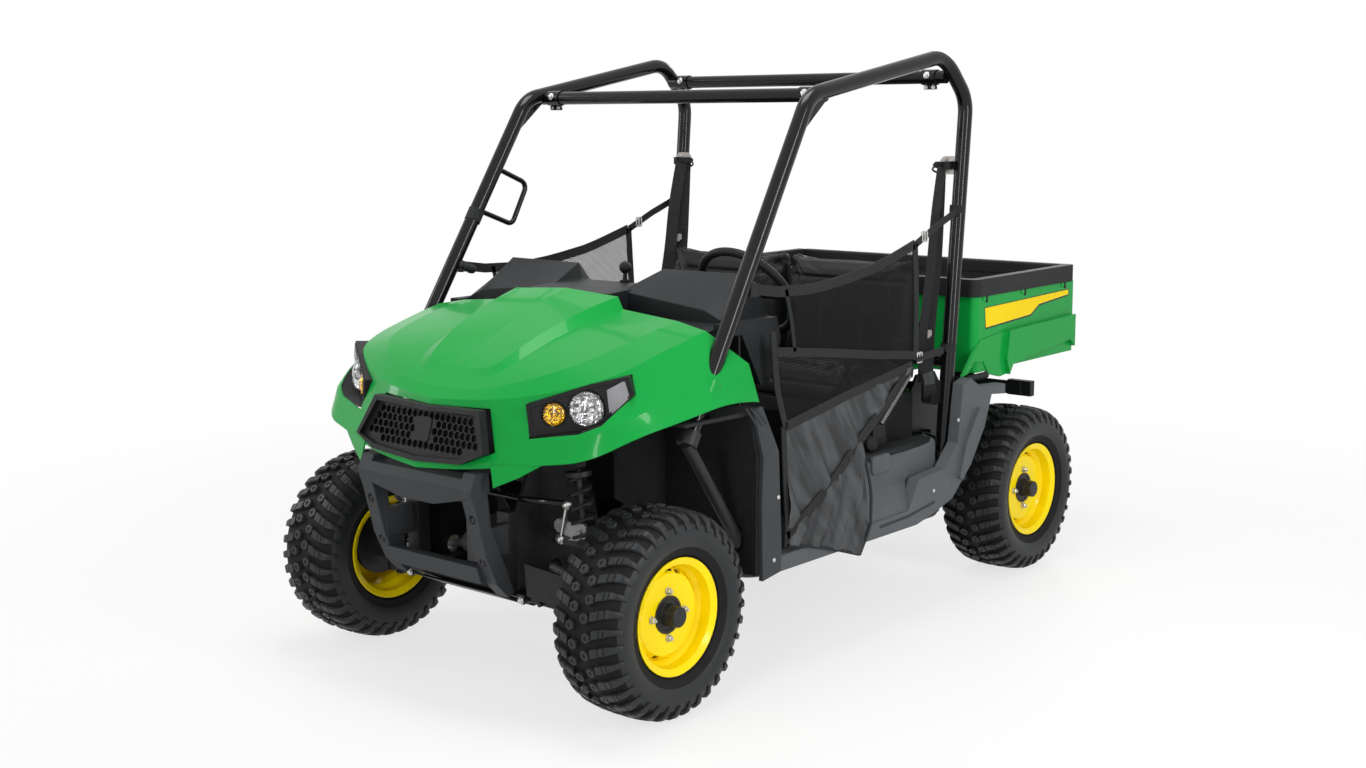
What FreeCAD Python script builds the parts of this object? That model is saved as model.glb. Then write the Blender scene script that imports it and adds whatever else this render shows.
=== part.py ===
import FreeCAD, Part
import math
import os

os.makedirs("parts", exist_ok=True)

# Side by side utility vehicle, in millimetres.
# X is the vehicle's left, -Y its front and Z up.
# Pieces are laid out from the middle of the front axle, over the ground of the standard tyre.
# At the end everything moves so that the tyres touch zero height and the origin lies
# under the middle of the length.

V = FreeCAD.Vector

# Overall layout
wheelbase = 2007.0
axle_height = 303.0
front_wheel_x = 612.0
rear_wheel_x = 598.0
front_overhang = 342.0
rear_overhang = 427.0
running_gap = 0.3
seat_gap = 8.3

# Tyres
tyre_radius = 303.0
tyre_width = 246.0
tread_half_width = 94.0
lug_height = 15.0
lug_wrap = 46.0
lugs_per_side = 18

# Wheels
bead_radius = 152.0
flange_radius = 169.0
flange_half_width = 101.0
flange_roll = 5.0
well_depth = 14.0
rim_wall = 4.0
disc_offset = 40.0
disc_thickness = 8.0
disc_flat_radius = 117.0
disc_drop = 22.0
hub_bore_radius = 32.0
hub_cap_radius = 29.0
hub_cap_length = 46.0
hub_depth = 72.0
hub_boss_radius = 62.0
hub_boss_depth = 14.0
wheel_slot_count = 8
wheel_slot_length = 24.0
wheel_slot_height = 9.0
wheel_slot_circle = 123.0

# Front uprights and suspension arms
kingpin_x = 515.0
ball_joint_drop = 62.0
ball_joint_rise = 92.0
arm_boss_radius = 22.0
arm_boss_height = 26.0
arm_tube_radius = 12.0
arm_pivot_x = 246.0
arm_pivot_half_span = 125.0
arm_pivot_radius = 14.0
arm_eye_half = 28.0
arm_ear_thickness = 6.0
arm_ear_half = 18.0
arm_spread = 5.0
arm_joint_inset = 20.0
rear_joint_inset = 44.0
upper_arm_front_y = 34.0
upper_arm_rear_y = 130.0
lower_arm_pivot_z = 300.0
upper_arm_pivot_z = 455.0
arm_brace_x = 370.0
arm_brace_half = 52.0
shock_saddle_half = 14.0
guard_thickness = 8.0
guard_stay_radius = 7.0
spindle_radius = 27.0
carrier_radius = 42.0
carrier_inset = 26.0
brake_shield_radius = 98.0
brake_shield_thickness = 16.0
steer_arm_length = 105.0
steer_arm_inner = 60.0
steer_arm_outer = 18.0
steer_arm_half = 8.0
tie_rod_radius = 9.0
tie_rod_rise = 15.0
tie_rod_clearance = 14.0
tie_rod_inset = 40.0
rack_radius = 24.0
rack_half_length = 190.0
rack_y = 118.0

# Shock absorbers
spring_radius = 37.0
spring_wire_radius = 6.0
spring_coils = 7
damper_radius = 20.0
damper_rod_radius = 9.0
shock_eye_radius = 16.0
shock_eye_half = 18.0
shock_foot_x = 418.0
shock_foot_y = -46.0
shock_foot_rise = 30.8
shock_head = (372.0, -42.0, 700.0)
rear_shock_foot_x = 410.0
rear_shock_foot_y = wheelbase + 50.0
rear_shock_foot_rise = 29.5
rear_shock_head = (330.0, wheelbase + 62.0, 640.0)

# Ladder frame
rail_x = 200.0
rail_width = 50.0
rail_height = 64.0
rail_bottom_z = 268.0
rail_front_y = -178.0
rail_rear_y = wheelbase + 323.0
cross_member_half = 20.0
front_post_y = -178.0
front_post_depth = 45.0
tower_top_z = 560.0
tower_plate = 12.0
tower_tube_radius = 16.0
shaft_hole_radius = 28.0
rack_hole_radius = 19.0
sill_tube_x = 610.0
sill_tube_radius = 21.0
sill_tube_z = 312.0
sill_front_y = 452.0
sill_rear_y = wheelbase - 502.0
sill_bend_radius = 60.0
rops_foot_sleeve = 31.0
rops_foot_length = 44.0

# Receiver at the rear
receiver_outer = 64.0
receiver_bore = 51.0
receiver_length = 194.0
receiver_depth = 154.0
receiver_pin_radius = 8.0
receiver_pin_inset = 45.0

# Roll-over frame
rops_tube_radius = 25.0
rops_bend_radius = 120.0
rops_foot = (641.0, 146.0, 800.0)
rops_front_bend = (612.0, 740.0, 1737.0)
rops_peak = (622.0, wheelbase - 529.0, 1866.0)
rops_rear_bend = (629.0, wheelbase - 395.0, 1722.0)
rops_rear_foot = (626.0, wheelbase - 510.0, 520.0)
rops_cross_radius = 22.0
clamp_wall = 4.0
clamp_length = 58.0
clamp_gap = 34.0
clamp_flange = 15.0
gusset_thickness = 6.0
handle_x = -620.0
handle_radius = 9.0
handle_bend_radius = 26.0

# Front body
skin = 4.0
collar_wall = 16.0
collar_height = 46.0
tab_thickness = 5.0

# Grille
grille_half_top = 228.0
grille_half_wide = 277.0
grille_border = 14.0
grille_front_y = -250.0
grille_thickness = 26.0
grille_recess = 14.0
cell_pitch = 24.0
cell_wall = 4.0
boss_half_width = 30.0

# Headlamps
lamp_centre = (492.0, -123.0, 887.0)
lamp_facing = (0.536, -0.844, 0.05)
lamp_depth = 70.0
lamp_proud = 6.0
main_lens_radius = 52.0
side_lens_radius = 38.0
side_lens_offset = (-92.0, -16.0)
lens_pocket_depth = 30.0
lens_gap = 3.0

# Front bumper and skid plates
bumper_inner_x = 198.0
bumper_outer_x = 248.0
bumper_bolt_radius = 13.0
bumper_bolt_depth = 10.0
plate_thickness = 4.0
nose_plate_half = 172.0
pan_half_width = 225.0

# Cab
floor_z = sill_tube_z + sill_tube_radius + running_gap
floor_thickness = 8.0
firewall_y = 402.0
firewall_top_z = 1040.0
toe_y = 500.0
dash_half_width = 560.0
dash_end_x = 598.0
dash_face_y = 612.0
dash_top_z = 1152.0
cowl_front_y = 306.0
cowl_half_width = 236.0
pod_front_y = 392.0
pod_rear_y = 551.0
seat_front_y = wheelbase - 1022.0
seat_rear_y = wheelbase - 537.0
seat_base_top_z = 742.0
belt_x = 586.0
belt_room = 66.0
seat_base_half = belt_x - belt_room
seat_base_wall = 40.0
seat_step_x = 585.0
cushion_height = 120.0
cushion_half_width = 262.0
seat_x = 276.0
backrest_top_z = 1194.0
liner_x = 330.0
liner_outer_x = 693.7
pillar_x = 694.0
pillar_thickness = 14.0
side_panel_x = 658.0
side_panel_outer_x = 700.0

# Belts and side nets
belt_thickness = 14.0
net_x = 636.0
net_thickness = 6.0
net_skirt_x = 703.0
net_front_y = 385.0
net_rear_y = wheelbase - 695.0

# Steering wheel and gear lever
steering_wheel_centre = (330.0, 792.0, 1118.0)
steering_wheel_radius = 183.0
steering_rim_radius = 14.0
steering_hub_radius = 34.0
steering_hub_depth = 30.0
spoke_radius = 10.0
column_angle = 36.0
column_radius = 22.0
column_length = 240.0
lever_x = 24.0
lever_y = 545.0
lever_knob_z = 1200.0
lever_knob_radius = 20.0

# Engine, drive and muffler
engine_half_width = 186.0
engine_top_z = 680.0
gearbox_half_width = 130.0
gearbox_top_z = 520.0
shaft_radius = 13.0
shaft_inner_x = 78.0
shaft_inner_z = 395.0
shaft_end_rise = 9.0
shaft_joint_radius = 32.0
shaft_boot_length = 50.0
shaft_end_gap = 92.0
muffler_radius = 74.0
muffler_half_length = 205.0
muffler_y = wheelbase + 243.0
muffler_z = 530.0

# Cargo bed
bed_half_width = 640.0
bed_front_y = wheelbase - 327.0
bed_rear_y = wheelbase + 401.0
bed_floor_z = 770.0
bed_rim_z = 1100.0
bed_skin = 8.0
bed_wall = 30.0
bed_floor_thickness = 30.0
liner_groove_depth = 7.0
liner_groove_width = 34.0
liner_groove_pitch = 118.0
bed_corner_radius = 24.0
bed_rim_band = 62.0
bed_rim_overhang = 8.0
bed_flare = 20.0
bed_pivot_y = wheelbase + 243.0
bed_pivot_z = 735.0
bed_pin_radius = 10.0
bed_beam_x = 200.0
bed_beam_half = 30.0
bed_post_plate = 9.0
latch_radius = 12.0
latch_z = 757.0

# Tailgate
tailgate_hinge_inset = 12.0
tailgate_hinge_rise = 23.0
tailgate_hinge_radius = 9.0
tailgate_plate = 30.0
tailgate_side_gap = 13.0
tailgate_ear = 5.0
tailgate_ear_gap = 0.3
tailgate_recess = 5.0
tailgate_border = 62.0
hinge_inner_x = 350.0
hinge_outer_x = 450.0
tail_lamp_x = 490.0
tail_lamp_z = 625.0


def vec(point):
    return V(point[0], point[1], point[2])


def mirrored(shape):
    return shape.mirror(V(0, 0, 0), V(1, 0, 0))


def both_sides(shape):
    return [shape, mirrored(shape)]


def block(x0, x1, y0, y1, z0, z1):
    low_x, high_x = sorted((x0, x1))
    return Part.makeBox(high_x - low_x, y1 - y0, z1 - z0, V(low_x, y0, z0))


def rounded_block(x0, x1, y0, y1, z0, z1, radius):
    # A block whose four upright edges are rounded.
    solid = block(x0, x1, y0, y1, z0, z1)
    upright = [e for e in solid.Edges if abs(e.Vertexes[0].Z - e.Vertexes[1].Z) > (z1 - z0) / 2]
    return solid.makeFillet(radius, upright)


def rod(start, end, radius):
    a, b = vec(start), vec(end)
    return Part.makeCylinder(radius, (b - a).Length, a, b - a)


def fuse(shapes):
    whole = shapes[0]
    if len(shapes) > 1:
        whole = whole.fuse(shapes[1:])
    return whole.removeSplitter()


def polygon_face(points):
    return Part.Face(Part.makePolygon([vec(p) for p in points] + [vec(points[0])]))


def side_plate(outline, x0, x1):
    # A flat plate whose (y, z) outline is swept from x0 to x1.
    return polygon_face([(x0, y, z) for y, z in outline]).extrude(V(x1 - x0, 0, 0))


def front_plate(outline, y0, y1):
    # A flat plate whose (x, z) outline is swept from y0 to y1.
    return polygon_face([(x, y0, z) for x, z in outline]).extrude(V(0, y1 - y0, 0))


def slanted_plate(corners, thickness):
    # A flat plate on the plane of its first three corners, swept along that plane's normal.
    points = [vec(c) for c in corners]
    normal = (points[1] - points[0]).cross(points[2] - points[0]).normalize()
    flat = [p - normal * (p - points[0]).dot(normal) for p in points]
    return Part.Face(Part.makePolygon(flat + [flat[0]])).extrude(normal * thickness)


def filleted_path(points, radius):
    # Straight runs joined by tangent arcs of the given radius.
    corners = [vec(p) for p in points]
    edges = []
    last = corners[0]
    for before, corner, after in zip(corners, corners[1:], corners[2:]):
        u = (before - corner).normalize()
        w = (after - corner).normalize()
        half = u.getAngle(w) / 2
        reach = radius / math.tan(half)
        start = corner + u * reach
        end = corner + w * reach
        bisector = (u + w).normalize()
        middle = corner + bisector * (radius / math.sin(half) - radius)
        edges.append(Part.makeLine(last, start))
        edges.append(Part.Arc(start, middle, end).toShape())
        last = end
    edges.append(Part.makeLine(last, corners[-1]))
    return Part.Wire(edges)


def bent_tube(points, tube_radius, bend_radius):
    path = filleted_path(points, bend_radius)
    start = vec(points[0])
    direction = vec(points[1]) - start
    circle = Part.Wire(Part.makeCircle(tube_radius, start, direction))
    return path.makePipeShell([circle], True, False)


def revolved_about_x(profile, centre):
    # profile holds (x, radius) corners, revolved about a line along X through centre.
    face = polygon_face([(x, 0, r) for x, r in profile])
    solid = face.revolve(V(0, 0, 0), V(1, 0, 0), 360)
    solid.translate(vec(centre))
    return solid


def solid_of(faces):
    solid = Part.makeSolid(Part.makeShell(faces))
    if solid.Volume < 0:
        solid.reverse()
    return solid


def section_at(profile, angle):
    # The (x, radius) profile turned about X to the given angle in degrees.
    turn = math.radians(angle)
    return [V(x, -r * math.sin(turn), r * math.cos(turn)) for x, r in profile]


def faces_between(first, second):
    faces = []
    for i in range(len(first)):
        j = (i + 1) % len(first)
        faces.append(Part.Face(Part.makePolygon([first[i], first[j], second[j], second[i], first[i]])))
    return faces


def faceted_ring(profile, first_angle, step, count):
    # A closed ring of flat facets, one sector after the other.
    sections = [section_at(profile, first_angle + step * i) for i in range(count)]
    faces = []
    for i in range(count):
        faces.extend(faces_between(sections[i], sections[(i + 1) % count]))
    return solid_of(faces)


def faceted_sector(profile, start_angle, end_angle):
    first = section_at(profile, start_angle)
    second = section_at(profile, end_angle)
    ends = [Part.Face(Part.makePolygon(s + [s[0]])) for s in (first, second)]
    return solid_of(ends + faces_between(first, second))


def spline_row(poles):
    curve = Part.BSplineCurve()
    curve.buildFromPoles([vec(p) for p in poles], False, 2)
    return curve.toShape()


def row_normals(grid, i):
    # Outward normals at the poles of row i; a pole with no clear normal takes its neighbour's.
    row = grid[i]
    normals = []
    for j, point in enumerate(row):
        along = row[min(j + 1, len(row) - 1)] - row[max(j - 1, 0)]
        across = grid[min(i + 1, len(grid) - 1)][j] - grid[max(i - 1, 0)][j]
        normal = along.cross(across)
        if abs(point.x) < running_gap:
            normal.x = 0.0
        steep = normal.Length > 0.05 * along.Length * across.Length
        normals.append(normal.normalize() if steep else None)
    for j in range(len(row) - 1, -1, -1):
        if normals[j] is None:
            normals[j] = normals[j + 1]
    return normals


def inset_rows(rows, depth):
    # Moves each pole of a skin inward, square to the skin around it.
    grid = [[vec(p) for p in row] for row in rows]
    result = []
    for i, row in enumerate(grid):
        inner = [p - n * depth for p, n in zip(row, row_normals(grid, i))]
        result.append([(p.x, p.y, p.z) for p in inner])
    return result


def skin_solid(rows, depth):
    # A moulded skin of even thickness: ruled strips between character lines.
    inner = inset_rows(rows, depth)
    outer_edges = [spline_row(r) for r in rows]
    inner_edges = [spline_row(r) for r in inner]
    faces = []
    for edges in (outer_edges, inner_edges):
        for a, b in zip(edges, edges[1:]):
            faces.append(Part.makeRuledSurface(a, b))
    faces.append(Part.makeRuledSurface(outer_edges[0], inner_edges[0]))
    faces.append(Part.makeRuledSurface(outer_edges[-1], inner_edges[-1]))
    for end in (0, -1):
        for i in range(len(rows) - 1):
            a = Part.makeLine(vec(rows[i][end]), vec(rows[i + 1][end]))
            b = Part.makeLine(vec(inner[i][end]), vec(inner[i + 1][end]))
            faces.append(Part.makeRuledSurface(a, b))
    shell = Part.makeShell(faces)
    shell.sewShape()
    solid = Part.makeSolid(shell)
    if solid.Volume < 0:
        solid.reverse()
    return solid


# Tyre: a faceted carcass with wrap-round shoulder lugs, staggered from side to side.
# The radii are those across the flats, so that the tyre stands on a flat.
def make_tyre(centre):
    half = tyre_width / 2
    base = tyre_radius - lug_height
    sectors = 2 * lugs_per_side
    step = 360.0 / sectors
    to_corner = 1 / math.cos(math.radians(step / 2))
    side = [
        (flange_half_width - 15, bead_radius + running_gap),
        (flange_half_width - 1, flange_radius + 9),
        (half - 4, flange_radius + 50),
        (tread_half_width + 10, base - 12),
    ]
    carcass = [(-x, r) for x, r in side] + [(0, base)] + side[::-1]
    lug = [
        (6, base - 6),
        (6, tyre_radius),
        (tread_half_width, tyre_radius - 6),
        (half, tyre_radius - lug_wrap),
        (half - 10, tyre_radius - lug_wrap - 20),
    ]
    carcass = [(x, r * to_corner) for x, r in carcass]
    lug = [(x, r * to_corner) for x, r in lug]
    other_lug = [(-x, r) for x, r in lug]
    pieces = []
    for i in range(lugs_per_side):
        start = (2 * i - 0.5) * step
        pieces.append(faceted_sector(lug, start, start + step))
        pieces.append(faceted_sector(other_lug, start + step, start + 2 * step))
    tyre = faceted_ring(carcass, -step / 2, step, sectors).fuse(pieces)
    tyre.translate(vec(centre))
    return tyre


def hub_inner_x():
    # Inner end of the rotating hub, from the wheel's middle plane.
    return flange_half_width - disc_offset - disc_thickness - hub_depth


# Pressed steel wheel: barrel with two flanges, dished disc, hub and cap.
def make_wheel(centre, outward):
    w = flange_half_width
    well_x = w - 58
    well = bead_radius - well_depth
    outer_barrel = [(w, flange_radius), (w - flange_roll, flange_radius), (w - 13, bead_radius),
                    (w - 40, bead_radius), (well_x, well)]
    inner_barrel = [(well_x, well - rim_wall), (w - 42, bead_radius - rim_wall),
                    (w - 9, bead_radius - rim_wall), (w, flange_radius - rim_wall)]
    barrel = outer_barrel + [(-x, r) for x, r in outer_barrel[::-1]]
    barrel += [(-x, r) for x, r in inner_barrel[::-1]] + inner_barrel
    face_x = w - disc_offset
    back_x = face_x - disc_thickness
    rim_seat = well - rim_wall + 1
    disc = [
        (face_x, hub_bore_radius),
        (face_x, disc_flat_radius),
        (face_x - disc_drop / 4, disc_flat_radius + 7),
        (face_x - disc_drop, rim_seat),
        (back_x - disc_drop, rim_seat),
        (back_x - disc_drop / 4, disc_flat_radius + 1),
        (back_x, disc_flat_radius - 5),
        (back_x, hub_bore_radius),
    ]
    hub = [
        (face_x + hub_cap_length, 0),
        (face_x + hub_cap_length, hub_cap_radius - 6),
        (face_x + hub_cap_length - 6, hub_cap_radius),
        (face_x + 2, hub_cap_radius),
        (face_x + 2, hub_bore_radius),
        (back_x, hub_bore_radius),
        (back_x, hub_boss_radius),
        (back_x - hub_boss_depth, hub_boss_radius),
        (back_x - hub_boss_depth, spindle_radius),
        (hub_inner_x(), spindle_radius),
        (hub_inner_x(), 0),
    ]
    wheel = fuse([revolved_about_x(p, (0, 0, 0)) for p in (barrel, disc, hub)])
    slots = []
    for i in range(wheel_slot_count):
        slot = block(back_x - 2 * disc_drop, face_x + disc_drop, -wheel_slot_length / 2, wheel_slot_length / 2,
                     wheel_slot_circle - wheel_slot_height / 2, wheel_slot_circle + wheel_slot_height / 2)
        slot.rotate(V(0, 0, 0), V(1, 0, 0), 360.0 * (i + 0.5) / wheel_slot_count)
        slots.append(slot)
    wheel = wheel.cut(slots)
    if outward < 0:
        wheel = mirrored(wheel)
    wheel.translate(vec(centre))
    return wheel


def tie_rod_z():
    return axle_height + tie_rod_rise


def between(x, near, far):
    # Height at x on the straight line through two (x, z) points.
    return near[1] + (far[1] - near[1]) * (x - near[0]) / (far[0] - near[0])


def lower_arm_z(x):
    # Height of the front lower arm's tubes.
    joint = (kingpin_x - arm_joint_inset, axle_height - ball_joint_drop)
    return between(x, (arm_pivot_x, lower_arm_pivot_z), joint)


def rear_lower_arm_z(x):
    joint = (rear_wheel_x + hub_inner_x() - rear_joint_inset, axle_height - ball_joint_drop)
    return between(x, (arm_pivot_x, lower_arm_pivot_z), joint)


def shock_foot():
    return (shock_foot_x, shock_foot_y, lower_arm_z(shock_foot_x) + shock_foot_rise)


def rear_shock_foot():
    return (rear_shock_foot_x, rear_shock_foot_y, rear_lower_arm_z(rear_shock_foot_x) + rear_shock_foot_rise)


def shaft_z(x):
    # Height of a front drive shaft between the differential and the wheel.
    return between(x, (shaft_inner_x, shaft_inner_z), (kingpin_x - shaft_end_gap, axle_height + shaft_end_rise))


def rack_z():
    return rail_bottom_z + rail_height + rack_radius + running_gap


# Steered upright: kingpin post, spindle carrier, brake shield and steering arm.
def make_knuckle():
    top = axle_height + ball_joint_rise - running_gap
    bottom = axle_height - ball_joint_drop + arm_boss_height / 2 + running_gap
    post = rod((kingpin_x, 0, bottom), (kingpin_x, 0, top), arm_boss_radius)
    carrier_end = front_wheel_x + hub_inner_x() - running_gap
    carrier = rod((kingpin_x - carrier_inset, 0, axle_height), (carrier_end, 0, axle_height), carrier_radius)
    shield = rod((carrier_end - brake_shield_thickness, 0, axle_height), (carrier_end, 0, axle_height),
                 brake_shield_radius)
    arm_z = tie_rod_z() - tie_rod_radius - tie_rod_clearance - running_gap
    arm = block(kingpin_x - steer_arm_inner, kingpin_x - steer_arm_outer, 0, steer_arm_length,
                arm_z - steer_arm_half, arm_z + steer_arm_half)
    return fuse([post, carrier, shield, arm])


def arm_pivot_tubes(centre_y, pivot_z, front_y, rear_y):
    tubes = []
    for y in (front_y, rear_y):
        tubes.append(rod((arm_pivot_x, centre_y + y - arm_eye_half, pivot_z),
                         (arm_pivot_x, centre_y + y + arm_eye_half, pivot_z), arm_pivot_radius))
    return tubes


# Deep moulded guard on the front leg of the lower arm.
def make_arm_guard():
    corners = [(x, y, lower_arm_z(x) + rise) for x, y, rise in (
        (268, -152, 23), (430, -78, 6), (430, -78, 110), (262, -155, 118))]
    stays = []
    for x, y, rise in ((300, -140, 5), (400, -96, 8)):
        z = lower_arm_z(x) + rise
        stays.append(rod((x, y, z), (x, y + 44, z), guard_stay_radius))
    return [slanted_plate(corners, guard_thickness)] + stays


# Upper and lower A-arms of the left front wheel.
def make_front_arms():
    lower_z = axle_height - ball_joint_drop
    upper_z = axle_height + ball_joint_rise + arm_boss_height / 2
    reach = kingpin_x - arm_joint_inset
    arms = []
    for pivot_z, joint_z, front_y, rear_y in (
            (lower_arm_pivot_z, lower_z, -arm_pivot_half_span, arm_pivot_half_span),
            (upper_arm_pivot_z, upper_z, upper_arm_front_y, upper_arm_rear_y)):
        legs = [rod((kingpin_x, 0, joint_z - arm_boss_height / 2),
                    (kingpin_x, 0, joint_z + arm_boss_height / 2), arm_boss_radius)]
        legs.append(rod((arm_pivot_x, front_y, pivot_z), (reach, -arm_spread, joint_z), arm_tube_radius))
        legs.append(rod((arm_pivot_x, rear_y, pivot_z), (reach, arm_spread, joint_z), arm_tube_radius))
        legs.extend(arm_pivot_tubes(0.0, pivot_z, front_y, rear_y))
        arms.append(legs)
    brace_z = lower_arm_z(arm_brace_x)
    arms[0].append(rod((arm_brace_x, -arm_brace_half, brace_z), (arm_brace_x, arm_brace_half, brace_z),
                       arm_tube_radius))
    foot_x, foot_y, foot_z = shock_foot()
    arms[0].append(block(foot_x - shock_saddle_half, foot_x + shock_saddle_half,
                         foot_y - shock_eye_half, foot_y + shock_eye_half,
                         foot_z - shock_foot_rise - arm_tube_radius - 4, foot_z - shock_eye_radius - running_gap))
    arms[0].extend(make_arm_guard())
    return [fuse(legs) for legs in arms]


# Rear A-arms of the left side, with the hub carrier that they hold.
def make_rear_arms():
    joint_x = rear_wheel_x + hub_inner_x() - running_gap
    legs = [
        rod((joint_x - 60, wheelbase, axle_height), (joint_x, wheelbase, axle_height), 44),
        block(joint_x - 60, joint_x - 24, wheelbase - 30, wheelbase + 30,
              axle_height - ball_joint_drop - 22, axle_height + ball_joint_rise + 20),
    ]
    for pivot_z, joint_z, front_y, rear_y in (
            (lower_arm_pivot_z, axle_height - ball_joint_drop, -arm_pivot_half_span, arm_pivot_half_span),
            (upper_arm_pivot_z, axle_height + ball_joint_rise, -upper_arm_rear_y, -upper_arm_front_y)):
        for y, near in ((front_y, -arm_spread - 3), (rear_y, arm_spread + 3)):
            legs.append(rod((arm_pivot_x, wheelbase + y, pivot_z),
                            (joint_x + running_gap - rear_joint_inset, wheelbase + near, joint_z),
                            arm_tube_radius))
        legs.extend(arm_pivot_tubes(wheelbase, pivot_z, front_y, rear_y))
    foot_x, foot_y, foot_z = rear_shock_foot()
    legs.append(block(foot_x - shock_saddle_half, foot_x + shock_saddle_half, foot_y - 24, foot_y + 22,
                      rear_lower_arm_z(foot_x) - arm_tube_radius + 4, foot_z - shock_eye_radius - running_gap))
    return fuse(legs)


# Coil-over shock absorber: damper, rod, two spring seats, two eyes and a helical spring.
def make_shock(bottom, top):
    a, b = vec(bottom), vec(top)
    length = (b - a).Length
    up = (b - a).normalize()

    def at(share):
        point = a + up * (length * share)
        return (point.x, point.y, point.z)

    coil_radius = spring_radius - spring_wire_radius
    coil_start, coil_end = 0.225, 0.93
    coil_height = length * (coil_end - coil_start)
    helix = Part.makeHelix(coil_height / spring_coils, coil_height, coil_radius)
    corners = []
    for i in range(6):
        turn = math.radians(60 * i)
        corners.append((coil_radius + spring_wire_radius * math.cos(turn), 0, spring_wire_radius * math.sin(turn)))
    section = Part.makePolygon([vec(c) for c in corners + corners[:1]])
    spring = Part.Wire(helix.Edges).makePipeShell([section], True, True)
    spring.Placement = FreeCAD.Placement(vec(at(coil_start)), FreeCAD.Rotation(V(0, 0, 1), up))
    pieces = [
        rod(at(0.0), at(0.52), damper_radius),
        rod(at(0.5), at(1.0), damper_rod_radius),
        rod(at(0.2), at(0.235), spring_radius + 2),
        rod(at(0.92), at(0.955), spring_radius + 2),
        spring,
    ]
    for x, y, z in (bottom, top):
        pieces.append(rod((x, y - shock_eye_half, z), (x, y + shock_eye_half, z), shock_eye_radius))
    return fuse(pieces)


def rops_front_way():
    return (vec(rops_front_bend) - vec(rops_foot)).normalize()


def rops_rear_way():
    return (vec(rops_rear_bend) - vec(rops_rear_foot)).normalize()


def front_leg(radius):
    # The frame's strut from the sill tube up to the foot of the roll-over frame.
    low = vec(rops_foot) - rops_front_way() * (running_gap + rops_foot_length)
    return rod((sill_tube_x, sill_front_y + 18, sill_tube_z), (low.x, low.y, low.z + 6), radius)


# Left half of the frame's side structure, from its towers to its bed posts.
def frame_side():
    half = rail_width / 2
    top = rail_bottom_z + rail_height
    tower_in = rail_x + half - tower_plate / 2
    tower_out = rail_x + half + tower_plate / 2
    shaft_hole_z = shaft_z(tower_out) + 4
    rack_hole_z = between(tower_out, (rack_half_length, rack_z()), (kingpin_x - tie_rod_inset, tie_rod_z()))
    pieces = [
        block(rail_x - half, rail_x + half, rail_front_y, rail_rear_y, rail_bottom_z, top),
        block(rail_x - half, rail_x + half, front_post_y, front_post_y + front_post_depth, top - 4, tower_top_z),
    ]
    front_tower = side_plate([(-150, top - 4), (-150, tower_top_z), (-90, tower_top_z + 130), (90, tower_top_z + 130),
                              (170, tower_top_z), (210, top - 4)], tower_in, tower_out)
    pieces.append(front_tower.cut([
        rod((rail_x, 0, shaft_hole_z), (rail_x + 60, 0, shaft_hole_z), shaft_hole_radius),
        rod((rail_x, rack_y - 4, rack_hole_z), (rail_x + 60, rack_y - 4, rack_hole_z), rack_hole_radius)]))
    rear_tower = side_plate([(wheelbase - 157, top - 4), (wheelbase - 127, 600), (wheelbase - 57, 690),
                             (wheelbase + 63, 690), (wheelbase + 133, 600), (wheelbase + 183, top - 4)],
                            tower_in, tower_out)
    pieces.append(rear_tower.cut(rod((rail_x, wheelbase, shaft_hole_z), (rail_x + 60, wheelbase, shaft_hole_z),
                                     shaft_hole_radius)))
    pivots = [(-arm_pivot_half_span, lower_arm_pivot_z), (arm_pivot_half_span, lower_arm_pivot_z),
              (upper_arm_front_y, upper_arm_pivot_z), (upper_arm_rear_y, upper_arm_pivot_z)]
    pivots += [(wheelbase - y, z) for y, z in pivots]
    for y, z in pivots:
        for end in (-1, 1):
            middle = y + end * (arm_eye_half + running_gap + arm_ear_thickness / 2)
            pieces.append(block(rail_x + half, arm_pivot_x + arm_pivot_radius,
                                middle - arm_ear_thickness / 2, middle + arm_ear_thickness / 2,
                                z - arm_ear_half, z + arm_ear_half))
    pieces.append(bent_tube([(rail_x, sill_front_y, sill_tube_z), (sill_tube_x, sill_front_y, sill_tube_z),
                             (sill_tube_x, sill_rear_y, sill_tube_z), (rail_x, sill_rear_y, sill_tube_z)],
                            sill_tube_radius, sill_bend_radius))
    foot = vec(rops_foot) - rops_front_way() * (running_gap + rops_foot_length)
    pieces.append(Part.makeCylinder(rops_foot_sleeve, rops_foot_length, foot, rops_front_way()))
    pieces.append(front_leg(sill_tube_radius - 2))
    rear_foot = vec(rops_rear_foot) - rops_rear_way() * (running_gap + 30)
    pieces.append(Part.makeCylinder(rops_foot_sleeve - 1, 30, rear_foot, rops_rear_way()))
    pieces.append(rod((sill_tube_x, sill_rear_y - 35, sill_tube_z), (rear_foot.x, rear_foot.y, rear_foot.z + 4),
                      sill_tube_radius))
    plate_in = bed_beam_x + bed_beam_half + running_gap
    plate_out = plate_in + bed_post_plate
    pieces.append(block(rail_x + half - 2, plate_out, bed_pivot_y - 30, bed_pivot_y + 30, top - 10, bed_pivot_z - 60))
    pieces.append(block(plate_in, plate_out, bed_pivot_y - 24, bed_pivot_y + 24, bed_pivot_z - 70, bed_pivot_z + 20))
    pieces.append(rod((bed_beam_x - bed_beam_half + 8, bed_pivot_y, bed_pivot_z),
                      (plate_in + 5, bed_pivot_y, bed_pivot_z), bed_pin_radius))
    return pieces


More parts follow.
